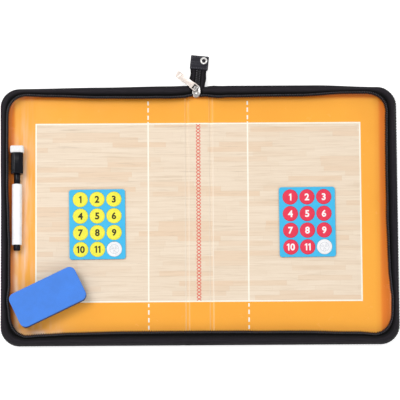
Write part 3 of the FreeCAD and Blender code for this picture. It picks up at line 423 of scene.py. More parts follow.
finishes = {
    "leather": leatherFinish("leatheretteBlack", srgb(36, 35, 38)),
    "tabLeather": leatherFinish("tabLeatherette", srgb(26, 25, 34), 1100.0, 0.24, 0.0016),
    "orange": vinylFinish("vinylOrange", srgb(255, 174, 62), {
        # the rim tone is painted shade of the rolled-up edge
        # the rubbed tone is a painted highlight of glare streaks on the left
        "pale": srgb(255, 222, 160), "rim": srgb(240, 130, 38), "paintedGlare": srgb(255, 219, 192)}),
    "planks": plankFinish("mapleCourt", {
        "light": srgb(243, 227, 206), "middle": srgb(237, 219, 197), "dull": srgb(230, 209, 184),
        "vein": srgb(210, 186, 158), "warm": srgb(234, 201, 168), "streak": srgb(186, 164, 140),
        "pale": srgb(250, 240, 224)}),
    "lineInk": inkFinish("courtLineInk", srgb(253, 248, 232), 0.4, "plan", 0.04),
    "netInk": inkFinish("netInk", srgb(224, 104, 90)),
    "tape": tapeFinish("zipTapeWeave", srgb(19, 17, 20)),
    # tooth base lighter than the black plastic as a painted highlight on the lit shoulders; the dark tone is
    # painted shade at the tips
    "teeth": plasticFinish("zipToothBlack", srgb(76, 73, 78), 0.36, 0.06, 0.17, srgb(14, 13, 15)),
    "thread": feltFinish("seamThread", srgb(74, 72, 80)),
    "nickel": platedFinish("brightNickel", srgb(226, 224, 222)),
    # darker copy of the nickel: painted shade on the slider body
    "sliderNickel": platedFinish("sliderNickel", srgb(168, 165, 163), 0.18),
    "pullNickel": platedFinish("pullNickel", srgb(224, 212, 204), 0.28, 0.75),
    "barrel": plasticFinish("barrelWhite", srgb(250, 251, 254), 0.28),
    "cap": plasticFinish("capBlack", srgb(10, 11, 19), 0.12, 0.04, 0.12),
    "capFelt": feltFinish("capFeltWhite", srgb(252, 252, 252)),
    "nib": feltFinish("nibFibre", srgb(40, 42, 56)),
    "foam": foamFinish("foamBlue", srgb(76, 136, 232)),
    "darkFelt": feltFinish("eraserFelt", srgb(40, 52, 92)),
    "card": inkFinish("cardBlue", srgb(66, 188, 236), 0.45),
    "yellow": inkFinish("tokenYellow", srgb(244, 238, 74), 0.45),
    "red": inkFinish("tokenRed", srgb(232, 56, 84), 0.45),
    "white": inkFinish("tokenWhite", srgb(243, 243, 245), 0.45),
    "darkInk": inkFinish("digitInkDark", srgb(54, 46, 24), 0.5),
    "whiteInk": inkFinish("digitInkWhite", srgb(250, 246, 246), 0.5),
    "greyInk": inkFinish("ballInkGrey", srgb(196, 198, 206), 0.5),
    "magnetEdge": inkFinish("magnetSheet", srgb(58, 54, 54), 0.7),
    "board": feltFinish("greyMillboard", srgb(150, 146, 140)),
    "tin": platedFinish("tinnedSheet", srgb(178, 180, 182), 0.34),
    "ferrite": plasticFinish("ferriteMagnet", srgb(74, 73, 76), 0.6),
    "fibre": feltFinish("inkReservoirFibre", srgb(66, 66, 84)),
}
print("finishes", len(finishes))


def addPiece(name, verts, faces, mats, faceMat=None, layers=None):
    mesh = bpy.data.meshes.new(name)
    mesh.from_pydata([tuple(c * mm for c in v) for v in verts], [], faces)
    for mat in mats:
        mesh.materials.append(finishes[mat])
    if faceMat:
        mesh.polygons.foreach_set("material_index", faceMat)
    for key, values in (layers or {}).items():
        vector = isinstance(values[0], tuple)
        layer = mesh.attributes.new(key, "FLOAT_VECTOR" if vector else "FLOAT", "POINT")
        flat = [c for v in values for c in v] if vector else values
        layer.data.foreach_set("vector" if vector else "value", flat)
    mesh.polygons.foreach_set("use_smooth", [True] * len(mesh.polygons))
    mesh.update()
    return addObject(name, mesh)


def addObject(name, data):
    obj = bpy.data.objects.new(name, data)
    scene.collection.objects.link(obj)
    return obj


def plainMesh(obj, name):
    # what the modifiers, text or curve give, as a mesh of its own
    bpy.context.view_layer.update()
    graph = bpy.context.evaluated_depsgraph_get()
    made = bpy.data.meshes.new_from_object(
        obj.evaluated_get(graph), preserve_all_data_layers=True, depsgraph=graph)
    made.name = name
    return made


def smoothShade(obj, sharp):
    obj.data.polygons.foreach_set("use_smooth", [True] * len(obj.data.polygons))
    obj.data.set_sharp_from_angle(angle=math.radians(sharp))


def settle(obj, *modifiers):
    # modifiers become plain mesh, so nothing live is left on the piece
    for kind, settings in modifiers:
        mod = obj.modifiers.new(kind.lower(), kind)
        for key, value in settings.items():
            setattr(mod, key, value)
    made = plainMesh(obj, obj.name)
    obj.modifiers.clear()
    old = obj.data
    obj.data = made
    bpy.data.meshes.remove(old)


def thicken(obj, thick, sharp):
    settle(obj, ("SOLIDIFY", {"thickness": thick * mm, "offset": -1.0, "use_rim": True}))
    smoothShade(obj, sharp)


def outward(obj):
    work = bmesh.new()
    work.from_mesh(obj.data)
    bmesh.ops.remove_doubles(work, verts=work.verts, dist=1e-7)
    bmesh.ops.recalc_face_normals(work, faces=work.faces)
    work.to_mesh(obj.data)
    work.free()


def joinPieces(name, pieces):
    work = bmesh.new()
    mats = []
    for piece in pieces:
        piece.data.transform(piece.matrix_world)
        start = len(work.faces)
        work.from_mesh(piece.data)
        work.faces.ensure_lookup_table()
        for face in work.faces[start:]:
            mat = piece.data.materials[face.material_index]
            if mat not in mats:
                mats.append(mat)
            face.material_index = mats.index(mat)
    mesh = bpy.data.meshes.new(name)
    work.to_mesh(mesh)
    work.free()
    for mat in mats:
        mesh.materials.append(mat)
    for piece in pieces:
        bpy.data.objects.remove(piece)
    return addObject(name, mesh)


def lathe(name, profile, mat, steps, centre=(0, 0, 0), sharp=32):
    # profile of (radius, along) turned about an axis along y; radius 0 closes an end
    verts, faces, rings = [], [], []
    for radius, along in profile:
        if radius < 1e-6:
            rings.append([len(verts)])
            verts.append((centre[0], along, centre[2]))
            continue
        ring = []
        for a in roundAngles(steps):
            ring.append(len(verts))
            verts.append((centre[0] + radius * math.cos(a), along, centre[2] + radius * math.sin(a)))
        rings.append(ring)
    for a, b in zip(rings, rings[1:]):
        for k in range(steps):
            face = noRepeats([a[k % len(a)], a[(k + 1) % len(a)], b[(k + 1) % len(b)], b[k % len(b)]])
            if len(face) > 2:
                faces.append(face)
    obj = addPiece(name, verts, faces, [mat])
    outward(obj)
    smoothShade(obj, sharp)
    return obj


def noRepeats(ids):
    return [v for i, v in enumerate(ids) if v not in ids[:i]]


def roundedBox(width, height, corner, steps=8):
    points = []
    for cx, cy, start in ((1, -1, -90), (1, 1, 0), (-1, 1, 90), (-1, -1, 180)):
        for k in range(steps + 1):
            a = math.radians(start + 90 * k / steps)
            points.append((cx * (width / 2 - corner) + corner * math.cos(a),
                           cy * (height / 2 - corner) + corner * math.sin(a)))
    return points


# one half of the case as a grid with a ring of levels that follows the rounded edge
def halfSheet(name, side, xs, ys, levels, height, mats, pick, flip=False, marks=None):
    verts, faces, picks, index = [], [], [], {}
    layers = {"plan": [], **{key: [] for key in marks or {}}}
    corner, outerX, outerY = case["corner"], case["halfWidth"], case["halfHeight"]

    def put(key, x, y, d, level):
        if key not in index:
            index[key] = len(verts)
            verts.append((side * x, y, height(x, y, d, level)))
            layers["plan"].append((side * x * mm, y * mm, 0.0))
            for label, mark in (marks or {}).items():
                layers[label].append(mark(side, x, y, d))
        return index[key]

    def face(keys, x, y):
        ids = noRepeats([index[k] for k in keys])
        if len(ids) > 2:
            faces.append(ids if (side > 0) != flip else ids[::-1])
            picks.append(pick(side * x, y))

    for i, x in enumerate(xs):
        for j, y in enumerate(ys):
            put((i, j), x, y, min(outerX - x, outerY - abs(y)), 0)
    for i in range(len(xs) - 1):
        for j in range(len(ys) - 1):
            face([(i, j), (i + 1, j), (i + 1, j + 1), (i, j + 1)],
                 (xs[i] + xs[i + 1]) / 2, (ys[j] + ys[j + 1]) / 2)

    lastX, lastY, steps = len(xs) - 1, len(ys) - 1, case["cornerSteps"]
    path = [((i, lastY), x, ys[-1], 90.0) for i, x in enumerate(xs)]
    path += [((lastX, lastY), xs[-1], ys[-1], 90 - 90 * k / steps) for k in range(1, steps)]
    path += [((lastX, j), xs[-1], ys[j], 0.0) for j in range(lastY, -1, -1)]
    path += [((lastX, 0), xs[-1], ys[0], -90 * k / steps) for k in range(1, steps)]
    path += [((i, 0), xs[i], ys[0], -90.0) for i in range(lastX, -1, -1)]

    def ringKey(n, level):
        return path[n][0] if level == 0 else ("ring", n, level)

    for n, spot in enumerate(path):
        x, y, angle = spot[1:]
        nx, ny = math.cos(math.radians(angle)), math.sin(math.radians(angle))
        for level, d in enumerate(levels[1:], 1):
            put(ringKey(n, level), x + nx * (corner - d), y + ny * (corner - d), d, level)
    for n in range(len(path) - 1):
        middle = [(path[n][k] + path[n + 1][k]) / 2 for k in (1, 2)]
        for level in range(len(levels) - 1):
            away = corner - (levels[level] + levels[level + 1]) / 2
            angle = math.radians((path[n][3] + path[n + 1][3]) / 2)
            around = ((n, level), (n + 1, level), (n + 1, level + 1), (n, level + 1))
            face([ringKey(*spot) for spot in around],
                 middle[0] + math.cos(angle) * away, middle[1] + math.sin(angle) * away)
    return addPiece(name, verts, faces, mats, picks, layers)


def stepsBetween(low, high, gap, marks=()):
    # even steps, with the marks kept exactly and near neighbours dropped
    count = max(1, round((high - low) / gap))
    even = [low + (high - low) * k / count for k in range(count + 1)]
    kept = sorted(set([low, high] + [m for m in marks if low < m < high]))
    return sorted(kept + [v for v in even if min(abs(v - k) for k in kept) > gap * 0.35])


# printed field of the liner: court, lines, attack lines with dashes outside the court
court = {
    "left": -189.5, "right": 187.3, "top": 108.7, "bottom": -99.0,
    "line": 1.7,
    "attack": (-59.1, 56.6),
    "dashesAbove": ((108.6, 111.0), (113.4, 118.4), (122.2, 127.4), (130.6, 135.2)),
    "dashesBelow": ((-105.6, -101.6), (-114.2, -109.0), (-123.2, -118.0), (-131.4, -127.0)),
}
lineHalf = court["line"] / 2
dashes = court["dashesAbove"] + court["dashesBelow"]


def inCourt(x, y, grown):
    across = court["left"] - grown < x < court["right"] + grown
    return across and court["bottom"] - grown < y < court["top"] + grown


def printAt(x, y):
    # 0 orange field, 1 planks, 2 line ink
    if min(abs(x - attack) for attack in court["attack"]) < lineHalf:
        if court["bottom"] < y < court["top"] or any(a < y < b for a, b in dashes):
            return 2
    if inCourt(x, y, -lineHalf):
        return 1
    return 2 if inCourt(x, y, lineHalf) else 0


liner = {
    "sunk": 0.08,       # below the solid's face
    "coveStart": (9.0, 13.4),       # along the head and foot, and at the sides
    "coveEnd": 3.8, "coveRise": 5.6, "coveTurn": 0.985, "coveFull": 0.828,
    "sideFrom": 200.0, "sideSpan": 16.0,
    # x where the edge starts to turn up, and over what length
    "upHead": (20.0, 8.0), "upFoot": (16.8, 5.0), "upSpine": (10.8, 2.4),
    "grooveDepth": 0.9, "grooveHalf": 1.9,
    "ridge": 0.07, "ridgeAway": 2.6, "ridgeHalf": 0.7,
    # pale lines beside each crease, fainter towards the head: partly whitened vinyl, partly a painted
    # highlight on the crease lips
    "paleLineAway": 2.0, "paleLineHalf": 0.5, "paleLineInner": 0.5, "paleLineOuter": 0.7,
    "paleLineHead": 0.35, "paleLineFrom": -40, "paleLineSpan": 150,
    # glare on the left roll: its inset along the foot and at the sides, then how it fades
    "glareAt": (15.5, 18.4), "glareHalf": 3.4, "glare": 0.9,
    "glareLoss": 0.5, "glareFrom": -40, "glareSpan": 60, "glareHead": 85, "glareEnd": 25,
    "glareFoot": -118, "glareFootFrom": 140, "glareFootSpan": 50,
    # slack: a band round the edge, away from the creases
    "slackAt": 24, "slackHalf": 22, "slackFade": 14, "slackFrom": 22, "slackSpan": 12,
    "slack": 0.3, "slackVary": 0.4,
    "thick": 0.5,
    # inset where the painted rim shade starts, and where it is darkest
    "rimShadeHead": (14.5, 9.5), "rimShadeSide": {-1: (17.4, 13.6), 1: (24.0, 17.5)},
    "levels": (22, 20.4, 19, 17, 15.6, 14.4, 13.2, 12, 10.8, 9.6, 8.4, 7.2, 6, 5.2, 4.6, 4.1, 3.8, 3.6),
    "xGap": 5.5, "yGap": 6.0,
}


def atSide(x):
    # 0 along the head and foot, 1 at the outer sides
    return ease((x - liner["sideFrom"]) / liner["sideSpan"])


def linerHeight(x, y, d, level):
    crease = case["crease"]
    z = case["floor"] - liner["sunk"]
    z -= liner["grooveDepth"] * math.exp(-((x - crease) / liner["grooveHalf"]) ** 4)
    away, half = liner["ridgeAway"], liner["ridgeHalf"]
    z += liner["ridge"] * (bell(x, crease - away, half) + bell(x, crease + away, half))
    start = blendTo(*liner["coveStart"], atSide(x))
    t = min(max((start - d) / (start - liner["coveEnd"]), 0.0), 1.0)
    # turned up on the covers and the spine's foot, slit at the creases, later at the head for the slider
    if x > crease:
        turn, span = liner["upHead"] if y > 0 else liner["upFoot"]
        up = ease((x - turn) / span)
    else:
        turn, span = liner["upSpine"]
        up = ease((turn - x) / span) * (y < 0)
    z += liner["coveRise"] * up * (1 - math.sqrt(1 - (liner["coveTurn"] * t) ** 2)) / liner["coveFull"]
    # slack of the sheet near the edges
    band = ease((liner["slackHalf"] - abs(d - liner["slackAt"])) / liner["slackFade"])
    soft = band * ease((x - liner["slackFrom"]) / liner["slackSpan"]) * (1 - t)
    wave = noise.noise(Vector((x * 0.021, y * 0.017, 3.1)))
    wave += 0.5 * noise.noise(Vector((x * 0.06, y * 0.024, 7.7)))
    return z - soft * max(liner["slack"] + liner["slackVary"] * wave, 0.0)


# pale crease lines: partly whitened vinyl, partly a painted highlight on the crease lips
def creaseWear(side, x, y, d):
    crease, away, half = case["crease"], liner["paleLineAway"], liner["paleLineHalf"]
    lines = max(liner["paleLineInner"] * bell(x, crease - away, half),
                liner["paleLineOuter"] * bell(x, crease + away, half))
    return lines * blendTo(1.0, liner["paleLineHead"], ease((y - liner["paleLineFrom"]) / liner["paleLineSpan"]))


def rimShade(side, x, y, d):
    # painted shade where the sheet rolls up under the tape, wider on the outer sides
    clear = 1.0
    for inset, (start, full) in ((case["halfWidth"] - x, liner["rimShadeSide"][side]),
                                 (case["halfHeight"] - abs(y), liner["rimShadeHead"])):
        clear *= 1 - ease((start - inset) / (start - full))
    return 1 - clear


def rollGlare(side, x, y, d):
    # pale light that the left roll catches, strongest in the lower corner
    if side > 0:
        return 0.0
    roll = bell(d, blendTo(*liner["glareAt"], atSide(x)), liner["glareHalf"])
    along = liner["glare"] - liner["glareLoss"] * ease((y - liner["glareFrom"]) / liner["glareSpan"])
    along *= 1 - ease((y - liner["glareHead"]) / liner["glareEnd"])
    atFoot = ease((x - liner["glareFootFrom"]) / liner["glareFootSpan"])
    return roll * along * (atFoot if y < liner["glareFoot"] else 1.0)


lineEdges = (-lineHalf, lineHalf)
lineXs = [abs(v) + s for v in (court["left"], court["right"], *court["attack"]) for s in lineEdges]
lineYs = [v + s for v in (court["top"], court["bottom"]) for s in lineEdges]
dashYs = [v for pair in dashes for v in pair]
creaseXs = [9.6, 10.6, 11.1, 11.6, 12.0, 12.4, 12.8, 13.2, 13.7, 14.3, 14.8, 15.2, 15.6, 16.0, 16.4, 16.9,
            17.6, 19]
gridXs = stepsBetween(0.0, case["halfWidth"] - case["corner"], liner["xGap"], lineXs + creaseXs)
edgeY = case["halfHeight"] - case["corner"]
ringDashes = [case["halfHeight"] - abs(v) for v in dashYs if abs(v) > edgeY]
gridYs = stepsBetween(-edgeY, edgeY, liner["yGap"], lineYs + dashYs)
linerLevels = sorted(set(liner["levels"]) | set(ringDashes), reverse=True)


for side, label in sides:
    sheet = halfSheet(label + "LinerPrint", side, gridXs, gridYs, linerLevels, linerHeight,
                      ["orange", "planks", "lineInk"], printAt,
                      marks={"worn": creaseWear, "rim": rimShade, "glare": rollGlare})
    thicken(sheet, liner["thick"], 40)
    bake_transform(sheet)
    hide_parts(label + "_liner", "spine_liner")
print("liner halves", len(gridXs), "x", len(gridYs))


# outer skin: flat back, rolled edge, low wall, pressed creases
skin = {
    # inset from the edge and height there
    "profile": ((22, 0), (14, 0), (8, 0), (4.5, 0.0), (2.6, 0.05), (1.7, 0.22), (1.0, 0.55), (0.5, 1.05),
                (0.2, 1.65), (0.08, 2.3), (0.05, 3.2), (0.05, 4.2), (0.1, 5.1), (0.3, 5.6), (0.75, 5.85),
                (1.1, 5.8)),
    "rollLevels": 7,        # the wall's levels come after these
    "spineWall": 3.9, "creaseWall": 3.3, "coverWall": 5.9,
    # x where the wall's height starts to change, and over what length
    "spineStep": (9.8, 2.2), "coverStep": (16.0, 3.5),
    "pressed": 0.34, "pressedHalf": 1.5,
    "thick": 0.7,
    "xGap": 9.0, "yGap": 16.0,
}


def wallTop(x):
    if x < case["crease"]:
        start, span = skin["spineStep"]
        return blendTo(skin["spineWall"], skin["creaseWall"], ease((x - start) / span))
    start, span = skin["coverStep"]
    return blendTo(skin["creaseWall"], skin["coverWall"], ease((x - start) / span))


def skinHeight(x, y, d, level):
    z = skin["profile"][level][1]
    if level > skin["rollLevels"]:
        z = z * wallTop(x) / skin["coverWall"]
    pressed = skin["pressed"] * bell(x, case["crease"], skin["pressedHalf"])
    return min(max(z, pressed), wallTop(x))


skinXs = stepsBetween(0.0, case["halfWidth"] - case["corner"], skin["xGap"], creaseXs)
skinYs = stepsBetween(-edgeY, edgeY, skin["yGap"])
skinLevels = [d for d, z in skin["profile"]]
for side, label in sides:
    shell = halfSheet(label + "OuterSkin", side, skinXs, skinYs, skinLevels, skinHeight,
                      ["leather"], lambda x, y: 0, flip=True)
    thicken(shell, skin["thick"], 40)
    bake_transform(shell)
    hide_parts(label + "_outer_skin", "spine_outer_skin")
print("outer skin halves")


def softPath(points, count):
    # evenly read points of a smooth curve through the given ones
    points = [Vector(p) for p in points]
    out = []
    spans = len(points) - 1
    for n in range(count + 1):
        s = n / count * spans
        i = min(int(s), spans - 1)
        t = s - i
        a, b, c, d = (points[min(max(i + k, 0), spans)] for k in (-1, 0, 1, 2))
        second, third = 2 * a - 5 * b + 4 * c - d, 3 * b - a - 3 * c + d
        out.append(0.5 * (2 * b + (c - a) * t + second * t * t + third * t ** 3))
    return out


# zip tape: sewn edge along the wall, toothed edge leaning over the tray, both ends meet in the tail
zipTape = {
    "sewnInset": 1.7, "sewnHeight": 5.2,
    # lean of the toothed edge, by place along each side: x on the head and foot, y on the outer side
    "lean": {
        -1: {"head": ((34, 12.8), (115, 12.4), (170, 10.4), (208, 9.0)),
             "side": ((128, 8.7), (85, 8.3), (40, 8.5), (-10, 10.3), (-30, 11.3), (-82, 11.3), (-97, 9.3),
                      (-112, 11.4), (-128, 12.2)),
             "foot": ((208, 11.2), (180, 13.2), (150, 14.5), (116, 15.2), (80, 15.8), (40, 15.7), (0, 15.8))},
        1: {"head": ((34, 11.8), (115, 11.4), (165, 8.6), (208, 8.6)),
            "side": ((128, 12.6), (105, 13.1), (78, 13.6), (28, 13.6), (-2, 13.7), (-33, 13.1), (-63, 12.2),
                     (-82, 10.6), (-97, 9.0), (-112, 9.4), (-128, 10.0)),
            "foot": ((208, 11.8), (180, 13.8), (115, 15.1), (40, 15.7), (0, 15.8))},
    },
    # how far the tape bellies out over the wall
    "belly": {
        -1: {"head": ((34, 2.9), (115, 1.8), (208, 0.6)),
             "side": ((128, 1.6), (70, 1.3), (0, 0.6), (-60, 0.3), (-128, 0.0)),
             "foot": ((208, 0.0), (0, 0.0))},
        1: {"head": ((34, 3.1), (135, 3.0), (208, 0.5)),
            "side": ((128, -0.8), (0, 0.2), (-128, -0.2)),
            "foot": ((208, 0.0), (0, 0.0))},
    },
    # off the wall, over the belly, down into the groove and up to the toothed edge:
    # fixed inset, share of the lean, share of the belly taken off, height
    "section": ((0.9, 0, 0.6, 8.6), (1.2, 0, 1, 11.6), (2.9, 0, 0.6, 13.9), (0, 0.42, 0, 14.8),
                (0, 0.6, 0, 14.2), (0, 0.69, 0, 12.5), (0, 0.8, 0, 12.9), (0, 1, 0, 13.4)),
    "fold": (0.0, 0.1, 0.5, 0.9, 0.6, 0.1, -0.1, 0.0, 0.0),     # lift of the tail's tape across its width
    "leadEnd": 34.0,        # x where the lead from the tail has reached the edge
    "innerCorner": 21.0,    # radius of the toothed edge there
    "thick": 0.7,
    "markerDip": 1.1, "markerAt": 78.0,     # right side, clear of the marker's felt when the case is shut
    "footDip": 1.2,     # across the spine
    "dipFrom": 5, "dipSpan": 8,     # height where a dip starts, and over what height it is full
    "leanVary": 0.35,
    "across": 22,
    "step": 6.0,
    "blendStart": 8.0, "blendEnd": 34.0,
}
tail = {
    "origin": (-2.6, 145.5, 7.6), "turn": 6.0, "slope": 6.8, "halfTape": 9.4, "halfChain": 0.25,
    "wave": 0.4, "waveRate": 0.42,      # of the tape's sewn edges
}
tailMatrix = (Matrix.Translation(tail["origin"]) @ Matrix.Rotation(math.radians(-tail["turn"]), 4, 'Z')
              @ Matrix.Rotation(math.radians(-tail["slope"]), 4, 'X'))


def tailPoint(x, y, z=0.0):
    return tailMatrix @ Vector((x, y, z))


def readTable(rows, at):
    rows = sorted(rows)
    if at <= rows[0][0]:
        return rows[0][1]
    for (a, va), (b, vb) in zip(rows, rows[1:]):
        if at <= b:
            return blendTo(va, vb, ease((at - a) / (b - a)))
    return rows[-1][1]


def tableAt(table, point, part, share):
    # corners pass from one side's end value to the next one's
    w, h, r = case["halfWidth"], case["halfHeight"], case["corner"]
    if part == "headCorner":
        return blendTo(readTable(table["head"], w - r), readTable(table["side"], h - r), ease(share))
    if part == "footCorner":
        return blendTo(readTable(table["side"], r - h), readTable(table["foot"], w - r), ease(share))
    return readTable(table[part], point.y if part == "side" else point.x)


def coverEdge(gap):
    # stations round one cover from the head's lead to the foot's middle: point, way out, part, share of it
    w, h, r = case["halfWidth"], case["halfHeight"], case["corner"]
    turns = [(k / 12, math.radians(7.5 * k)) for k in range(1, 12)]
    run = []
    for x in stepsBetween(zipTape["leadEnd"] + 10, w - r, gap):
        run.append((Vector((x, h, 0)), Vector((0, 1, 0)), "head", 0))
    for share, a in turns:
        n = Vector((math.sin(a), math.cos(a), 0))
        run.append((Vector((w - r, h - r, 0)) + n * r, n, "headCorner", share))
    for y in stepsBetween(r - h, h - r, gap)[::-1]:
        run.append((Vector((w, y, 0)), Vector((1, 0, 0)), "side", 0))
    for share, a in turns:
        n = Vector((math.cos(a), -math.sin(a), 0))
        run.append((Vector((w - r, r - h, 0)) + n * r, n, "footCorner", share))
    for x in stepsBetween(0.0, w - r, gap)[::-1]:
        run.append((Vector((x, -h, 0)), Vector((0, -1, 0)), "foot", 0))
    return run


def cornerLean(table, point, n, lean):
    # near a corner the toothed edge follows its own rounder arc
    w, h, r, wide = case["halfWidth"], case["halfHeight"], case["corner"], zipTape["innerCorner"]
    end, sign = ("head", 1) if point.y > 0 else ("foot", -1)
    away = Vector((point.x - (w - readTable(table["side"], sign * (h - r)) - wide),
                   abs(point.y) - (h - readTable(table[end], w - r) - wide)))
    way = Vector((n.x, abs(n.y)))
    room = wide ** 2 - away.length_squared + away.dot(way) ** 2
    if room < 0:
        return lean
    reach = away.dot(way) - math.sqrt(room)
    hit = away - way * reach
    return max(lean, reach) if hit.x > 0 and hit.y > 0 else lean


def tapeSection(point, n, lean, belly, low=0.0):
    sewnAt = min(zipTape["sewnHeight"], wallTop(point.x) - zipTape["thick"])
    shape = [(zipTape["sewnInset"], sewnAt)]
    for inset, leaning, bellied, z in zipTape["section"]:
        shape.append((inset + leaning * lean - bellied * belly, z))
    section = []
    for d, z in shape:
        spot = point - n * d
        spot.z = z - low * max(z - zipTape["dipFrom"], 0) / zipTape["dipSpan"]
        section.append(spot)
    return section


def mirrored(row, side):
    return [Vector((side * p.x, p.y, p.z)) for p in row]


def tapeStations(side):
    # control points of the tape's section, from the sewn edge to the toothed edge, station by station
    rows = []
    last = len(zipTape["fold"]) - 1

    def flat(sewn, tooth):
        return [sewn + (tooth - sewn) * k / last for k in range(last + 1)]

    for y in stepsBetween(6.0, 29.0, 3.0)[::-1]:
        wave = tail["wave"] * math.sin(y * tail["waveRate"] + side)
        row = flat(tailPoint(side * tail["halfTape"] + wave, y, 0.1 * wave),
                   tailPoint(side * tail["halfChain"], y, -0.5))
        rows.append([p + Vector((0, 0, f)) for p, f in zip(row, zipTape["fold"])])
    # lead from the tail to the head's edge, arching as it goes
    base = tailPoint(side * tail["halfTape"], 5.0)
    north = Vector((0, 1, 0))
    ahead = Vector((zipTape["leadEnd"], case["halfHeight"], 0))
    lean, belly = (tableAt(zipTape[key][side], ahead, "head", 0) for key in ("lean", "belly"))
    arched = tapeSection(ahead, north, lean, belly)
    straight = flat(arched[0], arched[-1])
    for share, sewn, tooth in (
            (0.06, base + Vector((side * 0.3, 0.6, 0)), tailPoint(side * 2.3, 2.4)),
            (0.14, base + Vector((side * 1.0, 0.9, -1.0)), tailPoint(side * 2.7, -0.8)),
            (0.28, base + Vector((side * 2.6, 0.4, -2.4)), tailPoint(side * 3.5, -3.8, 0.1)),
            (0.45, Vector((side * 16.0, 148.6, 2.7)), tailPoint(side * 4.6, -5.6, 0.5)),
            (0.62, Vector((side * 20.0, 148.4, 4.6)), Vector((side * 9.5 - 1, 139.9, 9.9))),
            (0.8, Vector((side * 24.0, 148.3, 5.1)), Vector((side * 16.0, 138.4, 11.6))),
            (0.94, Vector((side * 29.0, 148.3, 5.2)), Vector((side * 23.5, 137.7, 12.8)))):
        row = flat(sewn, tooth)
        bent = [Vector((p.x, p.y + q.y - s.y, p.z + q.z - s.z)) for p, q, s in zip(row, arched, straight)]
        rows.append([p + (q - p) * ease(share / 0.5) for p, q in zip(row, bent)])
    for x in (zipTape["leadEnd"], zipTape["leadEnd"] + 5):
        point = Vector((x, case["halfHeight"], 0))
        lean = tableAt(zipTape["lean"][side], point, "head", 0)
        rows.append(mirrored(tapeSection(point, north, lean, belly), side))
    for point, n, part, share in coverEdge(zipTape["step"]):
        lean, belly = (tableAt(zipTape[key][side], point, part, share) for key in ("lean", "belly"))
        lean += zipTape["leanVary"] * noise.noise(Vector((point.x * 0.03 * side, point.y * 0.03, 1.7)))
        lean = cornerLean(zipTape["lean"][side], point, n, lean)
        low = zipTape["footDip"] * ease((30 - point.x) / 24) if part == "foot" else 0.0
        if side > 0 and part == "side":
            low = zipTape["markerDip"] * ease((34 - abs(point.y - zipTape["markerAt"])) / 20)
        rows.append(mirrored(tapeSection(point, n, lean, belly, low), side))
    return rows


toothPaths = {}
for side, label in sides:
    stations = tapeStations(side)
    verts, weave, faces, along = [], [], [], 0.0
    for n, row in enumerate(stations):
        if n:
            along += (row[4] - stations[n - 1][4]).length
        across = 0.0
        points = softPath(row, zipTape["across"])
        for k, p in enumerate(points):
            across += (p - points[k - 1]).length if k else 0.0
            verts.append(tuple(p))
            weave.append((along * mm, across * mm, k / zipTape["across"]))
    wide = zipTape["across"] + 1
    for n in range(len(stations) - 1):
        for k in range(zipTape["across"]):
            quad = [n * wide + k, n * wide + k + 1, (n + 1) * wide + k + 1, (n + 1) * wide + k]
            faces.append(quad if side > 0 else quad[::-1])
    strip = addPiece(label + "ZipTape", verts, faces, ["tape"], None, {"weave": weave})
    thicken(strip, zipTape["thick"], 50)
    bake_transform(strip)
    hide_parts(label + "_zip_tape", "zip_leads", "zip_end_gusset", "zip_tail_tape")
    toothPaths[label] = [row[-1] for row in stations]
print("zip tapes", len(toothPaths["left"]), "stations")


# repeats along a path: teeth, stitches and net links share one tree
def alongPathTree():
    tree = bpy.data.node_groups.new("alongPath", "GeometryNodeTree")
    panel = tree.interface
    panel.new_socket("Geometry", in_out="INPUT", socket_type="NodeSocketGeometry")
    for label, kind in (("Unit", "Object"), ("Pitch", "Float"), ("Variation", "Float"), ("Seed", "Int"),
                        ("Finish", "Material")):
        panel.new_socket(label, in_out="INPUT", socket_type="NodeSocket" + kind)
    panel.new_socket("Geometry", in_out="OUTPUT", socket_type="NodeSocketGeometry")
    nodes, links = tree.nodes, tree.links
    start, end = nodes.new("NodeGroupInput"), nodes.new("NodeGroupOutput")
    curve = nodes.new("GeometryNodeMeshToCurve")
    even = nodes.new("GeometryNodeResampleCurve")
    even.mode = "LENGTH"
    unit = nodes.new("GeometryNodeObjectInfo")
    tangent = nodes.new("GeometryNodeInputTangent")
    align = nodes.new("FunctionNodeAlignRotationToVector")
    align.axis, align.pivot_axis = "X", "Z"
    less, more = nodes.new("ShaderNodeMath"), nodes.new("ShaderNodeMath")
    less.operation, more.operation = "SUBTRACT", "ADD"
    less.inputs[0].default_value = more.inputs[0].default_value = 1.0
    vary = nodes.new("FunctionNodeRandomValue")
    place = nodes.new("GeometryNodeInstanceOnPoints")
    real = nodes.new("GeometryNodeRealizeInstances")
    paint = nodes.new("GeometryNodeSetMaterial")
    links.new(start.outputs["Geometry"], curve.inputs["Mesh"])
    links.new(curve.outputs["Curve"], even.inputs["Curve"])
    links.new(start.outputs["Pitch"], even.inputs["Length"])
    links.new(start.outputs["Unit"], unit.inputs["Object"])
    links.new(tangent.outputs["Tangent"], align.inputs["Vector"])
    links.new(start.outputs["Variation"], less.inputs[1])
    links.new(start.outputs["Variation"], more.inputs[1])
    spans = [s for s in vary.inputs if s.type == "VALUE" and s.name in ("Min", "Max")]
    links.new(less.outputs[0], spans[0])
    links.new(more.outputs[0], spans[1])
    links.new(start.outputs["Seed"], vary.inputs["Seed"])
    links.new(even.outputs["Curve"], place.inputs["Points"])
    links.new(unit.outputs["Geometry"], place.inputs["Instance"])
    links.new(align.outputs["Rotation"], place.inputs["Rotation"])
    links.new([s for s in vary.outputs if s.type == "VALUE"][0], place.inputs["Scale"])
    links.new(place.outputs["Instances"], real.inputs["Geometry"])
    links.new(real.outputs["Geometry"], paint.inputs["Geometry"])
    links.new(start.outputs["Finish"], paint.inputs["Material"])
    links.new(paint.outputs["Geometry"], end.inputs["Geometry"])
    return tree


pathTree = alongPathTree()


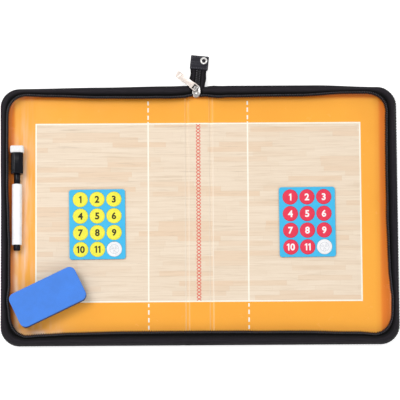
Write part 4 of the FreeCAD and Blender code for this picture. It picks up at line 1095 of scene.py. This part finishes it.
def runAlong(name, paths, unit, pitch, finish, variation=0.0, seed=7):
    verts, edges = [], []
    for path in paths:
        first = len(verts)
        verts += [tuple(c * mm for c in p) for p in path]
        edges += [(first + k, first + k + 1) for k in range(len(path) - 1)]
    mesh = bpy.data.meshes.new(name + "Path")
    mesh.from_pydata(verts, edges, [])
    host = addObject(name + "Path", mesh)
    mod = host.modifiers.new("alongPath", "NODES")
    mod.node_group = pathTree
    values = {"Unit": unit, "Pitch": pitch * mm, "Variation": variation, "Seed": seed,
              "Finish": finishes[finish]}
    for item in pathTree.interface.items_tree:
        if item.in_out == "INPUT" and item.name in values:
            mod[item.identifier] = values[item.name]
    made = plainMesh(host, name)
    bpy.data.objects.remove(host)
    bpy.data.objects.remove(unit)
    obj = addObject(name, made)
    smoothShade(obj, 40)
    return obj


def loft(name, rings, mat, sharp=40):
    # rings of equal count joined in order, ends closed
    count = len(rings[0])
    verts = [tuple(p) for ring in rings for p in ring]
    faces = []
    for r in range(len(rings) - 1):
        for k in range(count):
            a, b = r * count + k, r * count + (k + 1) % count
            faces.append([a, b, b + count, a + count])
    faces.append(list(range(count))[::-1])
    faces.append([(len(rings) - 1) * count + k for k in range(count)])
    obj = addPiece(name, verts, faces, [mat])
    outward(obj)
    smoothShade(obj, sharp)
    return obj


def roundAngles(steps):
    return [2 * math.pi * k / steps for k in range(steps)]


def tube(name, path, radius, mat, steps):
    # round rod along points
    points = [Vector(p) for p in path]
    rings, side = [], None
    for k, p in enumerate(points):
        way = (points[min(k + 1, len(points) - 1)] - points[max(k - 1, 0)]).normalized()
        if side is None:
            side = way.orthogonal().normalized()
        side = (side - way * side.dot(way)).normalized()
        other = way.cross(side)
        rings.append([p + radius * (side * math.cos(a) + other * math.sin(a)) for a in roundAngles(steps)])
    return loft(name, rings, mat)


# moulded zip tooth: foot on the tape, waist, head
tooth = {
    "pitch": 2.0,
    "outline": ((-0.52, -2.3), (0.52, -2.3), (0.56, -0.7), (0.36, -0.05), (0.56, 0.45), (0.34, 1.05),
                (-0.34, 1.05), (-0.56, 0.45), (-0.36, -0.05), (-0.56, -0.7)),
    "levels": ((-1.0, 0.86), (-0.7, 1.0), (0.95, 1.0), (1.3, 0.78)),
    "rowVary": 0.04, "chainVary": 0.03,
    "chainFlat": 0.45,      # tail's teeth, low enough to pass through the slider
    "chainYs": (7.6, 12.0, 17.0, 22.0, 26.4),
}


def toothUnit(inward, tall=1.0):
    rings = [[(x * s, y * s * inward, z * tall) for x, y in tooth["outline"]] for z, s in tooth["levels"]]
    unit = loft("toothUnit", rings, "teeth")
    low, high = min(y for x, y in tooth["outline"]), max(y for x, y in tooth["outline"])
    # share along the tooth, for the painted shade at its tip
    tip = unit.data.attributes.new("tip", "FLOAT", "POINT")
    tip.data.foreach_set("value", [(v.co.y * inward / mm - low) / (high - low) for v in unit.data.vertices])
    return unit


for side, label in sides:
    path = toothPaths[label]
    start = next(k for k, p in enumerate(path) if (tailMatrix.inverted() @ p).y < -5)
    row = runAlong(label + "ZipTeeth", [path[start:]], toothUnit(-side), tooth["pitch"], "teeth",
                   tooth["rowVary"], 11 + side)
    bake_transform(row)
    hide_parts(label + "_zip_teeth")
print("zip teeth rows")

# meshed teeth of the tail, one row from each side
chainRows = []
for side in (-1, 1):
    path = [tailPoint(side * tail["halfChain"], y + tooth["pitch"] / 4 * side) for y in tooth["chainYs"]]
    unit = toothUnit(side, tooth["chainFlat"])
    row = runAlong("chainRow", [path], unit, tooth["pitch"], "teeth", tooth["chainVary"], 20 + side)
    chainRows.append(row)
chain = joinPieces("tailChain", chainRows)
smoothShade(chain, 40)
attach(chain, "spine")
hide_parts("zip_tail_teeth")

# folded end tab with its stitching and eyelet rivet
tab = {
    "width": 21.2, "start": 27.0, "end": 44.0, "corner": 1.0,
    # inset and height of the rings, from below to the top
    "rings": ((2.0, -1.42), (0.7, -1.5), (0.25, -1.25), (0.0, -0.75), (0.0, -0.12), (0.2, 0.0), (0.0, 0.12),
              (0.0, 0.75), (0.25, 1.25), (0.7, 1.5), (1.3, 1.42), (2.0, 1.3), (2.7, 1.46), (4.4, 1.55)),
    "seam": 1.8, "seamHeight": 1.5, "pitch": 2.6, "stitch": (1.9, 0.26), "stitchVary": 0.06,
    "rivet": (4.9, 38.2), "rivetHead": 4.15, "rivetHole": 1.9,
    "ripple": 0.0036,
}
tabLength, tabMiddle = tab["end"] - tab["start"], (tab["start"] + tab["end"]) / 2


def tabRing(inset, z):
    corner, width = tab["corner"], tab["width"]
    held = inset if inset < corner else 0       # further in, the whole outline is scaled
    ring = []
    for x, y in roundedBox(width - 2 * held, tabLength - 2 * held, corner - held, 5):
        y += tabMiddle
        if inset >= corner:
            x *= 1 - inset / (width / 2)
            y = tabMiddle + (y - tabMiddle) * (1 - inset / (tabLength / 2))
        ring.append(tailPoint(x, y, z - tab["ripple"] * x * math.sin(y)))
    return ring


leather = loft("tailTab", [tabRing(*row) for row in tab["rings"]], "tabLeather", 60)
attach(leather, "spine")
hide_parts("zip_tail_tab")


def stitchUnit(length, radius):
    rings = []
    for along, share in ((-0.5, 0.35), (-0.38, 0.85), (0.0, 1.0), (0.38, 0.85), (0.5, 0.35)):
        drop = -radius * 1.1 * abs(2 * along) ** 3
        rings.append([(along * length, radius * share * math.cos(a), drop + radius * share * math.sin(a))
                      for a in roundAngles(7)])
    return loft("stitchUnit", rings, "thread")


edge, low, high = tab["width"] / 2 - tab["seam"], tab["start"] + tab["seam"], tab["end"] - tab["seam"]
seam = [tailPoint(x, y, tab["seamHeight"])
        for x, y in ((-edge, low), (-edge, high), (edge, high), (edge, low), (-edge, low))]
stitches = runAlong("tabStitches", list(zip(seam, seam[1:])), stitchUnit(*tab["stitch"]), tab["pitch"],
                    "thread", tab["stitchVary"], 31)
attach(stitches, "spine")


def standOnTail(obj, x, y):
    # turned piece set upright on the tail
    upright = tailMatrix @ Matrix.Translation((x, y, 0)) @ Matrix.Rotation(math.radians(90), 4, 'X')
    obj.data.transform(Matrix.Scale(mm, 4) @ upright @ Matrix.Scale(1 / mm, 4))


head, hole = tab["rivetHead"], tab["rivetHole"]
eyelet = lathe("tailRivet", (
    (hole, -2.1), (hole + 0.8, -2.3), (head - 0.6, -2.2), (head, -1.75), (head - 0.1, -1.5),
    (hole + 0.7, -1.5), (hole + 0.7, 1.5), (head - 0.1, 1.5), (head, 1.8), (head - 0.55, 2.3),
    (head - 1.3, 2.55), (hole + 0.7, 2.3), (hole + 0.15, 1.9), (hole, 1.2), (hole, -2.1)),
    "nickel", 48, sharp=50)
plug = lathe("rivetBed", ((0, -1.3), (hole + 0.3, -1.3), (hole + 0.3, 0.9), (0, 0.75)), "tabLeather", 32)
standOnTail(eyelet, *tab["rivet"])
standOnTail(plug, *tab["rivet"])
for piece in (eyelet, plug):
    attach(piece, "spine")
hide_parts("tail_rivet")
outward(eyelet)
print("zip tail")


# slider: cupped top and bottom plates joined by side walls, with the bail that carries the pull
slider = {
    # right half of the outline
    "half": ((0.0, -7.0), (1.6, -6.5), (3.4, -5.0), (4.7, -3.1), (5.1, -0.8), (4.7, 2.0), (4.1, 4.8),
             (3.5, 6.3), (2.2, 6.9), (0.0, 7.0)),
    # height and inset of each plate's rings
    "plate": ((0.72, 0.5), (0.85, 0.12), (1.5, 0.0), (2.15, 0.12), (2.62, 0.5), (2.68, 0.95), (2.35, 1.5),
              (2.15, 2.2)),
    "wing": ((4.75, -2.2), (4.95, -0.6), (4.6, 2.0), (4.05, 4.8), (3.5, 5.9), (2.9, 5.9), (3.3, 4.6),
             (3.9, 1.8), (4.15, -0.6), (4.1, -2.2)),
    "wingHeights": (-1.7, 1.7),
    "bail": ((0, 0.25, 2.0), (0, 0.2, 3.6), (0, 0.55, 4.6), (0, 1.5, 5.1), (0, 3.0, 5.2), (0, 4.5, 5.1),
             (0, 5.45, 4.6), (0, 5.8, 3.6), (0, 5.75, 2.0)),
    "bailRadius": 0.58,
    "stud": ((0, 3.35), (0.7, 3.2), (1.2, 2.8), (1.4, 2.2), (0, 2.1)), "studAt": (0, -2.2),
}
rightHalf = softPath([(x, y, 0) for x, y in slider["half"]], 20)
outline = [(p.x, p.y) for p in rightHalf] + [(-p.x, p.y) for p in rightHalf[-2:0:-1]]


def shrink(points, inset):
    out = []
    for k, (x, y) in enumerate(points):
        before, after = Vector(points[k - 1]), Vector(points[(k + 1) % len(points)])
        way = (after - before).normalized()
        out.append((x - way.y * inset, y + way.x * inset))
    return out


parts = []
for up in (1, -1):
    # plates, wings and bail take the darker nickel as painted shade; the stud stays bright
    rings = [[tailPoint(x, y, up * z) for x, y in shrink(outline, inset)] for z, inset in slider["plate"]]
    parts.append(loft("plate", rings, "sliderNickel", 60))
for side in (-1, 1):
    rings = [[tailPoint(side * x, y, z) for x, y in slider["wing"]] for z in slider["wingHeights"]]
    parts.append(loft("wing", rings, "sliderNickel"))
bail = [tailPoint(*p) for p in softPath(slider["bail"], 40)]
parts.append(tube("bail", bail, slider["bailRadius"], "sliderNickel", 14))
dome = lathe("stud", slider["stud"], "nickel", 28)
standOnTail(dome, *slider["studAt"])
parts.append(dome)
body = joinPieces("zipSlider", parts)
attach(body, "slider")
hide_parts("slider_body")

# pull: bar through the bail, two rails and a plate with a lazy bend
pull = {
    "pivot": Vector((-2.245, 148.881, 10.77)), "bar": Vector((0.628704, 0.771279, -0.099302)),
    "barRadius": 0.6,
    # along the pull from the bar: half width there
    "halfWidth": ((0.0, 4.0), (2.0, 4.2), (5.6, 4.2), (9.0, 3.7), (11.5, 3.55), (16.0, 3.75), (22.0, 4.1),
                  (28.0, 4.0), (29.4, 3.4), (30.0, 2.7)),
    "rows": (0.0, 1.0, 2.6, 4.2, 5.2, 6.2, 7.6, 9.2, 11, 13, 15, 17, 19, 21, 23, 25, 26.5, 28, 29.0, 29.6,
             30.0),
    "windowEnd": 5.2, "windowHalf": 3.0,
    # bends, and where along the pull each starts and over what length it comes
    "wave": 0.55, "waveHalf": 15.0, "waveSpan": 6, "sag": 0.5, "sagAt": (8, 12),
    "tipUp": 1.9, "tipAt": (24.5, 6), "cup": 0.25, "cupAt": (6, 5), "cupHalf": 4,
    "thick": 0.95, "bevel": 0.22,
}
lift = (tailMatrix.to_3x3() @ Vector((0, 0, 1))).normalized()
ahead = lift.cross(pull["bar"]).normalized()


def comesIn(u, start, span):
    return ease((u - start) / span)


def pullPoint(u, v):
    bend = pull["wave"] * math.sin(math.pi * u / pull["waveHalf"]) * ease(u / pull["waveSpan"])
    bend = bend - pull["sag"] * comesIn(u, *pull["sagAt"]) + pull["tipUp"] * comesIn(u, *pull["tipAt"])
    bend += pull["cup"] * (v / pull["cupHalf"]) ** 2 * comesIn(u, *pull["cupAt"])
    return pull["pivot"] + ahead * u + pull["bar"] * v + lift * bend


verts, faces = [], []
for u in pull["rows"]:
    half = readTable(pull["halfWidth"], u)
    rail = min(pull["windowHalf"], half * 0.78)
    right = (rail * 0.4, rail, (half + rail) / 2, half)
    verts += [tuple(pullPoint(u, v)) for v in [-v for v in right[::-1]] + list(right)]
for n, end in enumerate(pull["rows"][1:]):
    for k in range(7):
        if end <= pull["windowEnd"] and 2 <= k <= 4:
            continue
        a = n * 8 + k
        faces.append([a, a + 8, a + 9, a + 1])
plate = addPiece("plate", verts, faces, ["pullNickel"])
settle(plate, ("SOLIDIFY", {"thickness": pull["thick"] * mm, "offset": 0.0, "use_rim": True}),
       ("BEVEL", {"width": pull["bevel"] * mm, "segments": 2, "limit_method": "ANGLE",
                  "angle_limit": math.radians(50)}),
       ("SUBSURF", {"levels": 1, "render_levels": 1}))
outward(plate)
reach = pull["halfWidth"][0][1]
rod = [pull["pivot"] + pull["bar"] * v for v in (-reach, -reach * 0.5, 0, reach * 0.5, reach)]
bar = tube("bar", rod, pull["barRadius"], "nickel", 14)
tabPiece = joinPieces("pullTab", [plate, bar])
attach(tabPiece, "pull")
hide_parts("pull_tab")
print("slider and pull")


# marker: lathed white barrel, black plug, neck with nib holder and nib
marker = {
    "x": -211.0, "z": 11.1,
    # radius and place along y
    "plug": ((0, -40.0), (2.6, -40.0), (3.4, -39.8), (3.9, -39.2), (4.1, -38.2), (4.15, -35.6), (4.0, -35.3),
             (4.0, -34.8), (4.2, -34.5), (4.2, -33.0), (0, -33.0)),
    "barrel": ((4.3, -32.6), (4.4, -33.1), (5.3, -33.3), (5.72, -33.0), (5.88, -32.3), (5.9, -31.0),
               (5.9, -6.0), (5.9, 20.0), (5.9, 33.6), (5.84, 34.0), (5.84, 34.5), (5.9, 34.9), (5.88, 36.8),
               (5.6, 37.45), (5.0, 37.7), (3.9, 37.7), (3.8, 37.2), (3.8, -32.0), (4.3, -32.6)),
    "neck": ((0, 36.6), (3.7, 36.6), (3.75, 37.4), (3.75, 38.2), (3.62, 38.6), (3.62, 39.2), (3.75, 39.6),
             (3.75, 48.9), (3.6, 49.4), (3.1, 49.5), (3.1, 55.2), (2.95, 55.5), (2.0, 62.3), (1.8, 62.5),
             (1.45, 62.5), (1.45, 61.0), (0, 61.0)),
    "nib": ((0, 60.5), (1.42, 60.5), (1.42, 64.2), (1.25, 65.6), (0.8, 66.3), (0, 66.5)),
}
axis = (marker["x"], 0, marker["z"])
for name, key, mat, node, slot in (
        ("markerPlug", "plug", "cap", "marker_end_plug", "black_plastic"),
        ("markerBarrel", "barrel", "barrel", "marker_barrel", "white_plastic"),
        ("markerNeck", "neck", "cap", "marker_nib_holder", "black_plastic"),
        ("markerNib", "nib", "nib", "marker_nib", "dark_felt")):
    piece = lathe(name, marker[key], mat, 72, axis)
    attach(piece, "marker")
    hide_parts(node)

# cap: square bar with broad bevels, round bore, chamfered mouth
cap = {
    "mouth": 49.5, "lip": 0.6, "flare": 0.5, "bore": 3.9, "boreEnd": 71.8,
    "flat": 7.1, "bevelFlat": 7.49, "crisp": 60, "sides": 96,
    # inset and place along y
    "outer": ((0.5, 49.5), (0.12, 49.75), (0.0, 50.3), (0.0, 52.6), (0.22, 52.9), (0.22, 53.5), (0.0, 53.8),
              (0.0, 73.3), (0.15, 73.9), (0.6, 74.3)),
}


def capRing(inset, y):
    ring = []
    for a in roundAngles(cap["sides"]):
        total = 0.0
        for n in range(8):
            across = cap["flat"] if n % 2 == 0 else cap["bevelFlat"]
            facing = max(math.cos(a - n * math.pi / 4), 0.0)
            total += facing ** cap["crisp"] / (across - inset) ** cap["crisp"]
        r = total ** (-1 / cap["crisp"])
        ring.append((marker["x"] + r * math.cos(a), y, marker["z"] + r * math.sin(a)))
    return ring


def boreRing(radius, y):
    return [(marker["x"] + radius * math.cos(a), y, marker["z"] + radius * math.sin(a))
            for a in roundAngles(cap["sides"])]


rings = [boreRing(cap["bore"], cap["boreEnd"]), boreRing(cap["bore"], cap["mouth"] + cap["lip"]),
         boreRing(cap["bore"] + cap["flare"], cap["mouth"])]
rings += [capRing(inset, y) for inset, y in cap["outer"]]
shell = loft("markerCapShell", rings, "cap", 24)
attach(shell, "marker_cap")
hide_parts("marker_cap_shell")

# felt block on the cap's end, a little plump and uneven
felt = {
    "width": 15.6, "deep": 14.0, "corner": 2.4, "least": 1.2, "uneven": 0.14,
    # inset and place along y
    "rings": ((1.2, 74.3), (0.25, 74.6), (0.0, 75.4), (-0.1, 77.0), (-0.1, 79.6), (0.05, 81.2), (0.45, 82.0),
              (1.1, 82.35), (2.0, 82.4)),
}
rings = []
for inset, y in felt["rings"]:
    ring = []
    corner = max(felt["corner"] - inset * 0.5, felt["least"])
    for x, z in roundedBox(felt["width"] - 2 * inset, felt["deep"] - 2 * inset, corner, 7):
        rough = felt["uneven"] * noise.noise(Vector((x * 0.9, y * 0.9, z * 0.9)))
        ring.append((marker["x"] + x * (1 + rough / 8), y + rough * 0.5, marker["z"] + z * (1 + rough / 8)))
    rings.append(ring)
pad = loft("markerCapFelt", rings, "capFelt", 70)
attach(pad, "marker_cap")
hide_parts("marker_cap_eraser")
print("marker")

# board eraser: die-cut foam block on a felt sole
eraser = {
    "place": (-175.0, -94.4), "turn": 25.6, "width": 83.5, "deep": 42.0, "corner": 7.5, "least": 1.5,
    # inset, height and unevenness
    "foam": ((1.0, 7.0), (0.3, 7.15), (0.05, 7.7), (0.0, 9.0), (0.12, 12.0), (0.16, 15.0), (0.1, 18.0),
             (0.0, 20.8), (0.08, 21.4), (0.32, 21.75, 0.04), (0.8, 21.93, 0.06), (2.0, 21.97, 0.1),
             (5.5, 21.95, 0.15)),
    "sole": ((1.2, 4.0), (0.5, 4.1), (0.35, 4.6), (0.4, 5.6), (0.35, 6.6), (0.6, 6.95), (1.4, 7.0)),
}


def eraserRing(inset, z, rough=0.0):
    ring = []
    turn = Matrix.Rotation(math.radians(eraser["turn"]), 2)
    corner = max(eraser["corner"] - inset, eraser["least"])
    for x, y in roundedBox(eraser["width"] - 2 * inset, eraser["deep"] - 2 * inset, corner, 9):
        spot = turn @ Vector((x, y)) + Vector(eraser["place"])
        ring.append((spot.x, spot.y, z + rough * noise.noise(Vector((x * 0.08, y * 0.08, 2.0)))))
    return ring


foam = loft("eraserFoam", [eraserRing(*row) for row in eraser["foam"]], "foam", 60)
sole = loft("eraserSole", [eraserRing(*row) for row in eraser["sole"]], "darkFelt", 60)
for piece, node, slot in ((foam, "eraser_body", "blue_foam"), (sole, "eraser_felt", "dark_felt")):
    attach(piece, "eraser")
    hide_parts(node)
print("eraser")

# token cards: die-cut magnet sheet with twelve holes, and the tokens that sit in them
cards = {
    "width": 65.0, "deep": 81.5, "corner": 3.0, "low": 4.0, "high": 5.6, "bevel": 0.16,
    "pitch": 19.45, "rows": (1.5, 0.5, -0.5, -1.5), "columns": (-1, 0, 1),
    "hole": 9.0, "token": 8.8, "sheet": 0.7,       # bare magnet sheet under the print
    "yellow": {"place": (-118.4, -9.0), "turn": 0.5, "digit": "darkInk"},
    "red": {"place": (125.0, -7.6), "turn": 0.3, "digit": "whiteInk"},
    "digitHeight": 8.2, "digitBold": 0.036, "digitGap": 1.0, "inkLift": 0.02,
    "ball": 5.3, "ballRim": 0.38, "ballSeam": 0.36,
    # flagged figure one, in units of its height
    "one": ((0.16, 0.0), (0.36, 0.0), (0.36, 1.0), (0.2, 1.0), (0.0, 0.84), (0.0, 0.66), (0.16, 0.76)),
}


def fromCurve(name, curve, mat):
    # curve or text becomes mesh before it is placed
    holder = addObject(name + "Curve", curve)
    mesh = plainMesh(holder, name)
    bpy.data.objects.remove(holder)
    mesh.materials.clear()
    mesh.materials.append(finishes[mat])
    return addObject(name, mesh)


def cardPlace(card, x, y):
    spot = Matrix.Rotation(math.radians(card["turn"]), 2) @ Vector((x, y)) + Vector(card["place"])
    return spot.x, spot.y


def flatCurve(name, outlines, low, high):
    curve = bpy.data.curves.new(name, "CURVE")
    curve.dimensions, curve.fill_mode = "2D", "BOTH"
    curve.extrude = (high - low) / 2 * mm
    for points in outlines:
        spline = curve.splines.new("POLY")
        spline.points.add(len(points) - 1)
        for item, (x, y) in zip(spline.points, points):
            item.co = (x * mm, y * mm, 0, 1)
        spline.use_cyclic_u = True
    return curve


def circle(x, y, radius, steps):
    return [(x + radius * math.cos(a), y + radius * math.sin(a)) for a in roundAngles(steps)]


def glyphMesh(char, mat):
    if char == "1":
        corners = [(x, y, 0) for x, y in cards["one"]]
        obj = addPiece("digit", corners, [list(range(len(corners)))], [mat])
    else:
        curve = bpy.data.curves.new("digit", "FONT")
        curve.body, curve.size, curve.fill_mode = char, 1.0, "FRONT"
        curve.offset, curve.resolution_u = cards["digitBold"], 5
        obj = fromCurve("digit", curve, mat)
    xs, ys = [v.co.x for v in obj.data.vertices], [v.co.y for v in obj.data.vertices]
    scale = cards["digitHeight"] * mm / (max(ys) - min(ys))
    obj.data.transform(Matrix.Scale(scale, 4) @ Matrix.Translation((-min(xs), -(max(ys) + min(ys)) / 2, 0)))
    return obj, (max(xs) - min(xs)) * scale


def digitMesh(text, mat):
    glyphs = [glyphMesh(char, mat) for char in text]
    gap = cards["digitGap"] * mm
    start = -(sum(width for obj, width in glyphs) + gap * (len(glyphs) - 1)) / 2
    for obj, width in glyphs:
        obj.data.transform(Matrix.Translation((start, 0, 0)))
        start += width + gap
    return joinPieces("digits", [obj for obj, width in glyphs])


def ribbon(points, width, z, mat):
    verts, faces = [], []
    for k, p in enumerate(points):
        a, b = points[max(k - 1, 0)], points[min(k + 1, len(points) - 1)]
        way = Vector((b[0] - a[0], b[1] - a[1])).normalized()
        for s in (-0.5, 0.5):
            verts.append((p[0] - way.y * width * s, p[1] + way.x * width * s, z))
    for k in range(len(points) - 1):
        faces.append([2 * k + 1, 2 * k, 2 * k + 2, 2 * k + 3])
    return addPiece("ribbon", verts, faces, [mat])


def ballMarks(z):
    # plain ball: rim and curved panel seams
    size = cards["ball"]
    marks = [ribbon(circle(0, 0, size, 48) + [(size, 0.0)], cards["ballRim"], z, "greyInk")]
    for turn in (20, 140, 260):
        for offset, swing in ((0.0, 2.6), (1.9, 2.2), (-1.9, 2.2)):
            path = []
            for k in range(13):
                t = k / 12
                r = blendTo(0.09 if offset == 0 else 0.24, 0.97, t) * size
                a = math.radians(turn) + offset * 0.24 + swing * 0.16 * math.sin(t * 1.6)
                path.append((r * math.cos(a), r * math.sin(a)))
            marks.append(ribbon(path, cards["ballSeam"], z, "greyInk"))
    return marks


for colour in ("yellow", "red"):
    card = cards[colour]
    seats = []
    for row in cards["rows"]:
        for column in cards["columns"]:
            seats.append(cardPlace(card, column * cards["pitch"], row * cards["pitch"]))
    border = [cardPlace(card, x, y) for x, y in roundedBox(cards["width"], cards["deep"], cards["corner"], 6)]
    outlines = [border] + [circle(x, y, cards["hole"], 48) for x, y in seats]
    curve = flatCurve(colour + "Card", outlines, cards["low"], cards["high"])
    sheet = fromCurve(colour + "Card", curve, "card")
    sheet.data.transform(Matrix.Translation((0, 0, (cards["low"] + cards["high"]) / 2 * mm)))
    outward(sheet)
    sheet.data.materials.append(finishes["magnetEdge"])
    for poly in sheet.data.polygons:
        poly.material_index = 0 if poly.normal.z > 0.5 else 1
    settle(sheet, ("BEVEL", {"width": cards["bevel"] * mm, "segments": 2, "limit_method": "ANGLE",
                             "angle_limit": math.radians(60), "material": 0}))
    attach(sheet, colour + "_card")
    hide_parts(colour + "_token_card")
    for number, (x, y) in enumerate(seats, 1):
        ball = number == 12
        node = colour + ("_ball_token" if ball else "_token_%02d" % number)
        low, high = (v.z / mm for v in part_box(node))
        profile = ((0.3, low), (0.0, low + 0.25), (0.0, high - 0.3), (0.08, high - 0.1), (0.3, high),
                   (2.5, high))
        rings = [[(*p, z) for p in circle(0, 0, cards["token"] - inset, 56)] for inset, z in profile]
        disc = loft("disc", rings, "white" if ball else colour)
        disc.data.materials.append(finishes["magnetEdge"])
        for poly in disc.data.polygons:
            poly.material_index = 1 if poly.center.z < (low + cards["sheet"]) * mm else 0
        inkAt = high + cards["inkLift"]
        if ball:
            marks = ballMarks(inkAt)
        else:
            marks = [digitMesh(str(number), card["digit"])]
            marks[0].data.transform(Matrix.Translation((0, 0, inkAt * mm)))
        token = joinPieces(node.replace("_", "-"), [disc] + marks)
        turn = Matrix.Rotation(math.radians(card["turn"]), 4, 'Z')
        token.data.transform(Matrix.Translation((x * mm, y * mm, 0)) @ turn)
        smoothShade(token, 35)
        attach(token, node)
        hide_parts(node)
print("cards and tokens")

# printed net down the spine: crossing strokes
net = {
    "x": -0.9, "half": 2.25, "pitch": 4.05, "stroke": 0.95, "height": 3.955,
    "apart": 0.012,     # between strokes where they cross
    "margin": 2.6,
}
strokes = []
for lean in (-1, 1):
    shares = [k / 10 - 0.5 for k in range(11)]
    path = [(net["pitch"] * t, -lean * net["half"] * math.sin(math.pi * t)) for t in shares]
    strokes.append(ribbon(path, net["stroke"], net["apart"] * lean, "netInk"))
unit = joinPieces("netUnit", strokes)
low, high = court["bottom"] + net["margin"], court["top"] - net["margin"]
path = [(net["x"], y, net["height"]) for y in (low, 0, high)]
netRun = runAlong("netPrint", [path], unit, net["pitch"], "netInk")
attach(netRun, "spine")

# seam round the wall of each cover, where the tape is sewn in
wallSeam = {
    "start": 22.0, "inset": 0.02, "height": 4.9, "step": 8.0,
    "stitch": (2.3, 0.24), "pitch": 3.4, "vary": 0.05,      # length and radius of a stitch
}
for side, label in sides:
    path = []
    first = (Vector((wallSeam["start"], case["halfHeight"], 0)), Vector((0, 1, 0)), "head", 0)
    for point, n, part, share in [first] + coverEdge(wallSeam["step"]):
        if part != "foot" or point.x > wallSeam["start"]:
            spot = point - n * wallSeam["inset"]
            path.append((side * spot.x, spot.y, wallSeam["height"]))
    unit = stitchUnit(*wallSeam["stitch"])
    seamRun = runAlong(label + "WallSeam", [path], unit, wallSeam["pitch"], "thread", wallSeam["vary"],
                       41 + side)
    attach(seamRun, label + "_cover")
print("net and seams")

# inner layers keep their solids and get their finishes
for node, finish in (
        ("left_board", "board"), ("right_board", "board"), ("spine_stiffener", "board"),
        ("left_steel_sheet", "tin"), ("right_steel_sheet", "tin"), ("marker_ink_reservoir", "fibre"),
        ("marker_cap_magnet", "ferrite"), ("eraser_magnet", "ferrite")):
    solid = bpy.data.objects[node]
    solid.data.materials.clear()
    solid.data.materials.append(finishes[finish])


# floor, light and camera
def seenRay(tree):
    # rays that show the background: straight to the eye, or off metal and through clear pieces
    ray = addNode(tree, "LightPath").outputs
    reflected = larger(tree, ray["Is Glossy Ray"], ray["Is Transmission Ray"])
    return larger(tree, ray["Is Camera Ray"], reflected)


# plain sheet just under the case: half side and drop, m
ground = {"half": 6.0, "drop": 0.0004, "tone": (0.86, 0.86, 0.86), "glow": 0.55}
floorMesh = bpy.data.meshes.new("floor")
reach, drop = ground["half"], -ground["drop"]
corners = [(x * reach, y * reach, drop) for x, y in ((-1, -1), (1, -1), (1, 1), (-1, 1))]
floorMesh.from_pydata(corners, [], [(0, 1, 2, 3)])
floor = addObject("floor", floorMesh)
mat, tree, shader = addMaterial("studioFloor", ground["tone"], 0.9, 0.1)
glow = addNode(tree, "Emission", {"Color": (1, 1, 1, 1), "Strength": ground["glow"]})
both = addNode(tree, "AddShader")
gate = addNode(tree, "MixShader")
for source, socket in ((seenRay(tree), gate.inputs[0]), (shader.outputs["BSDF"], gate.inputs[1]),
                       (shader.outputs["BSDF"], both.inputs[0]), (glow.outputs["Emission"], both.inputs[1]),
                       (both.outputs["Shader"], gate.inputs[2]),
                       (gate.outputs["Shader"], tree.nodes["Material Output"].inputs["Surface"])):
    feed(tree, socket, source)
floorMesh.materials.append(mat)

# world: white where it is seen, softer as a light
skyLight = {"soft": 0.55, "seen": 1.0}
world = bpy.data.worlds.new("studio")
world.use_nodes = True
tree = world.node_tree
sky = tree.nodes["Background"]
feed(tree, sky.inputs["Color"], (1.0, 1.0, 1.0))
feed(tree, sky.inputs["Strength"], spread(tree, seenRay(tree), skyLight["soft"], skyLight["seen"], 0.0, 1.0))
scene.world = world

# area lamps: place, aim and size in m, power in W
lamps = {
    "keyLamp": {"place": (-0.95, 0.6, 1.9), "aim": (0, 0, 0), "size": (0.95, 0.95), "power": 20},
    "sideLamp": {"place": (0.95, 0.3, 1.5), "aim": (-0.1, 0, 0), "size": (0.3, 1.0), "power": 4},
    "fillLamp": {"place": (-0.2, -1.4, 1.8), "aim": (0, 0, 0), "size": (1.2, 1.2), "power": 6.5},
}
for name, settings in lamps.items():
    light = bpy.data.lights.new(name, "AREA")
    light.shape = "RECTANGLE"
    light.size, light.size_y = settings["size"]
    light.energy = settings["power"]
    lamp = addObject(name, light)
    lamp.location = settings["place"]
    toAim = Vector(settings["aim"]) - Vector(settings["place"])
    lamp.rotation_euler = toAim.to_track_quat('-Z', 'Y').to_euler()

# camera a little south of straight above
view = {
    "tilt": 7.5, "roll": 0.36, "away": 3.0, "target": (0.0008, 0.0186, 0.006),      # degrees and m
    "lens": 232.8, "sensor": 36.0,      # mm
}
tilt = math.radians(view["tilt"])
turn = Matrix.Rotation(tilt, 3, 'X') @ Matrix.Rotation(math.radians(-view["roll"]), 3, 'Z')
camera = addObject("camera", bpy.data.cameras.new("camera"))
camera.data.lens, camera.data.sensor_width = view["lens"], view["sensor"]
camera.location = Vector(view["target"]) + Vector((0, -math.sin(tilt), math.cos(tilt))) * view["away"]
camera.rotation_euler = turn.to_euler()
scene.camera = camera
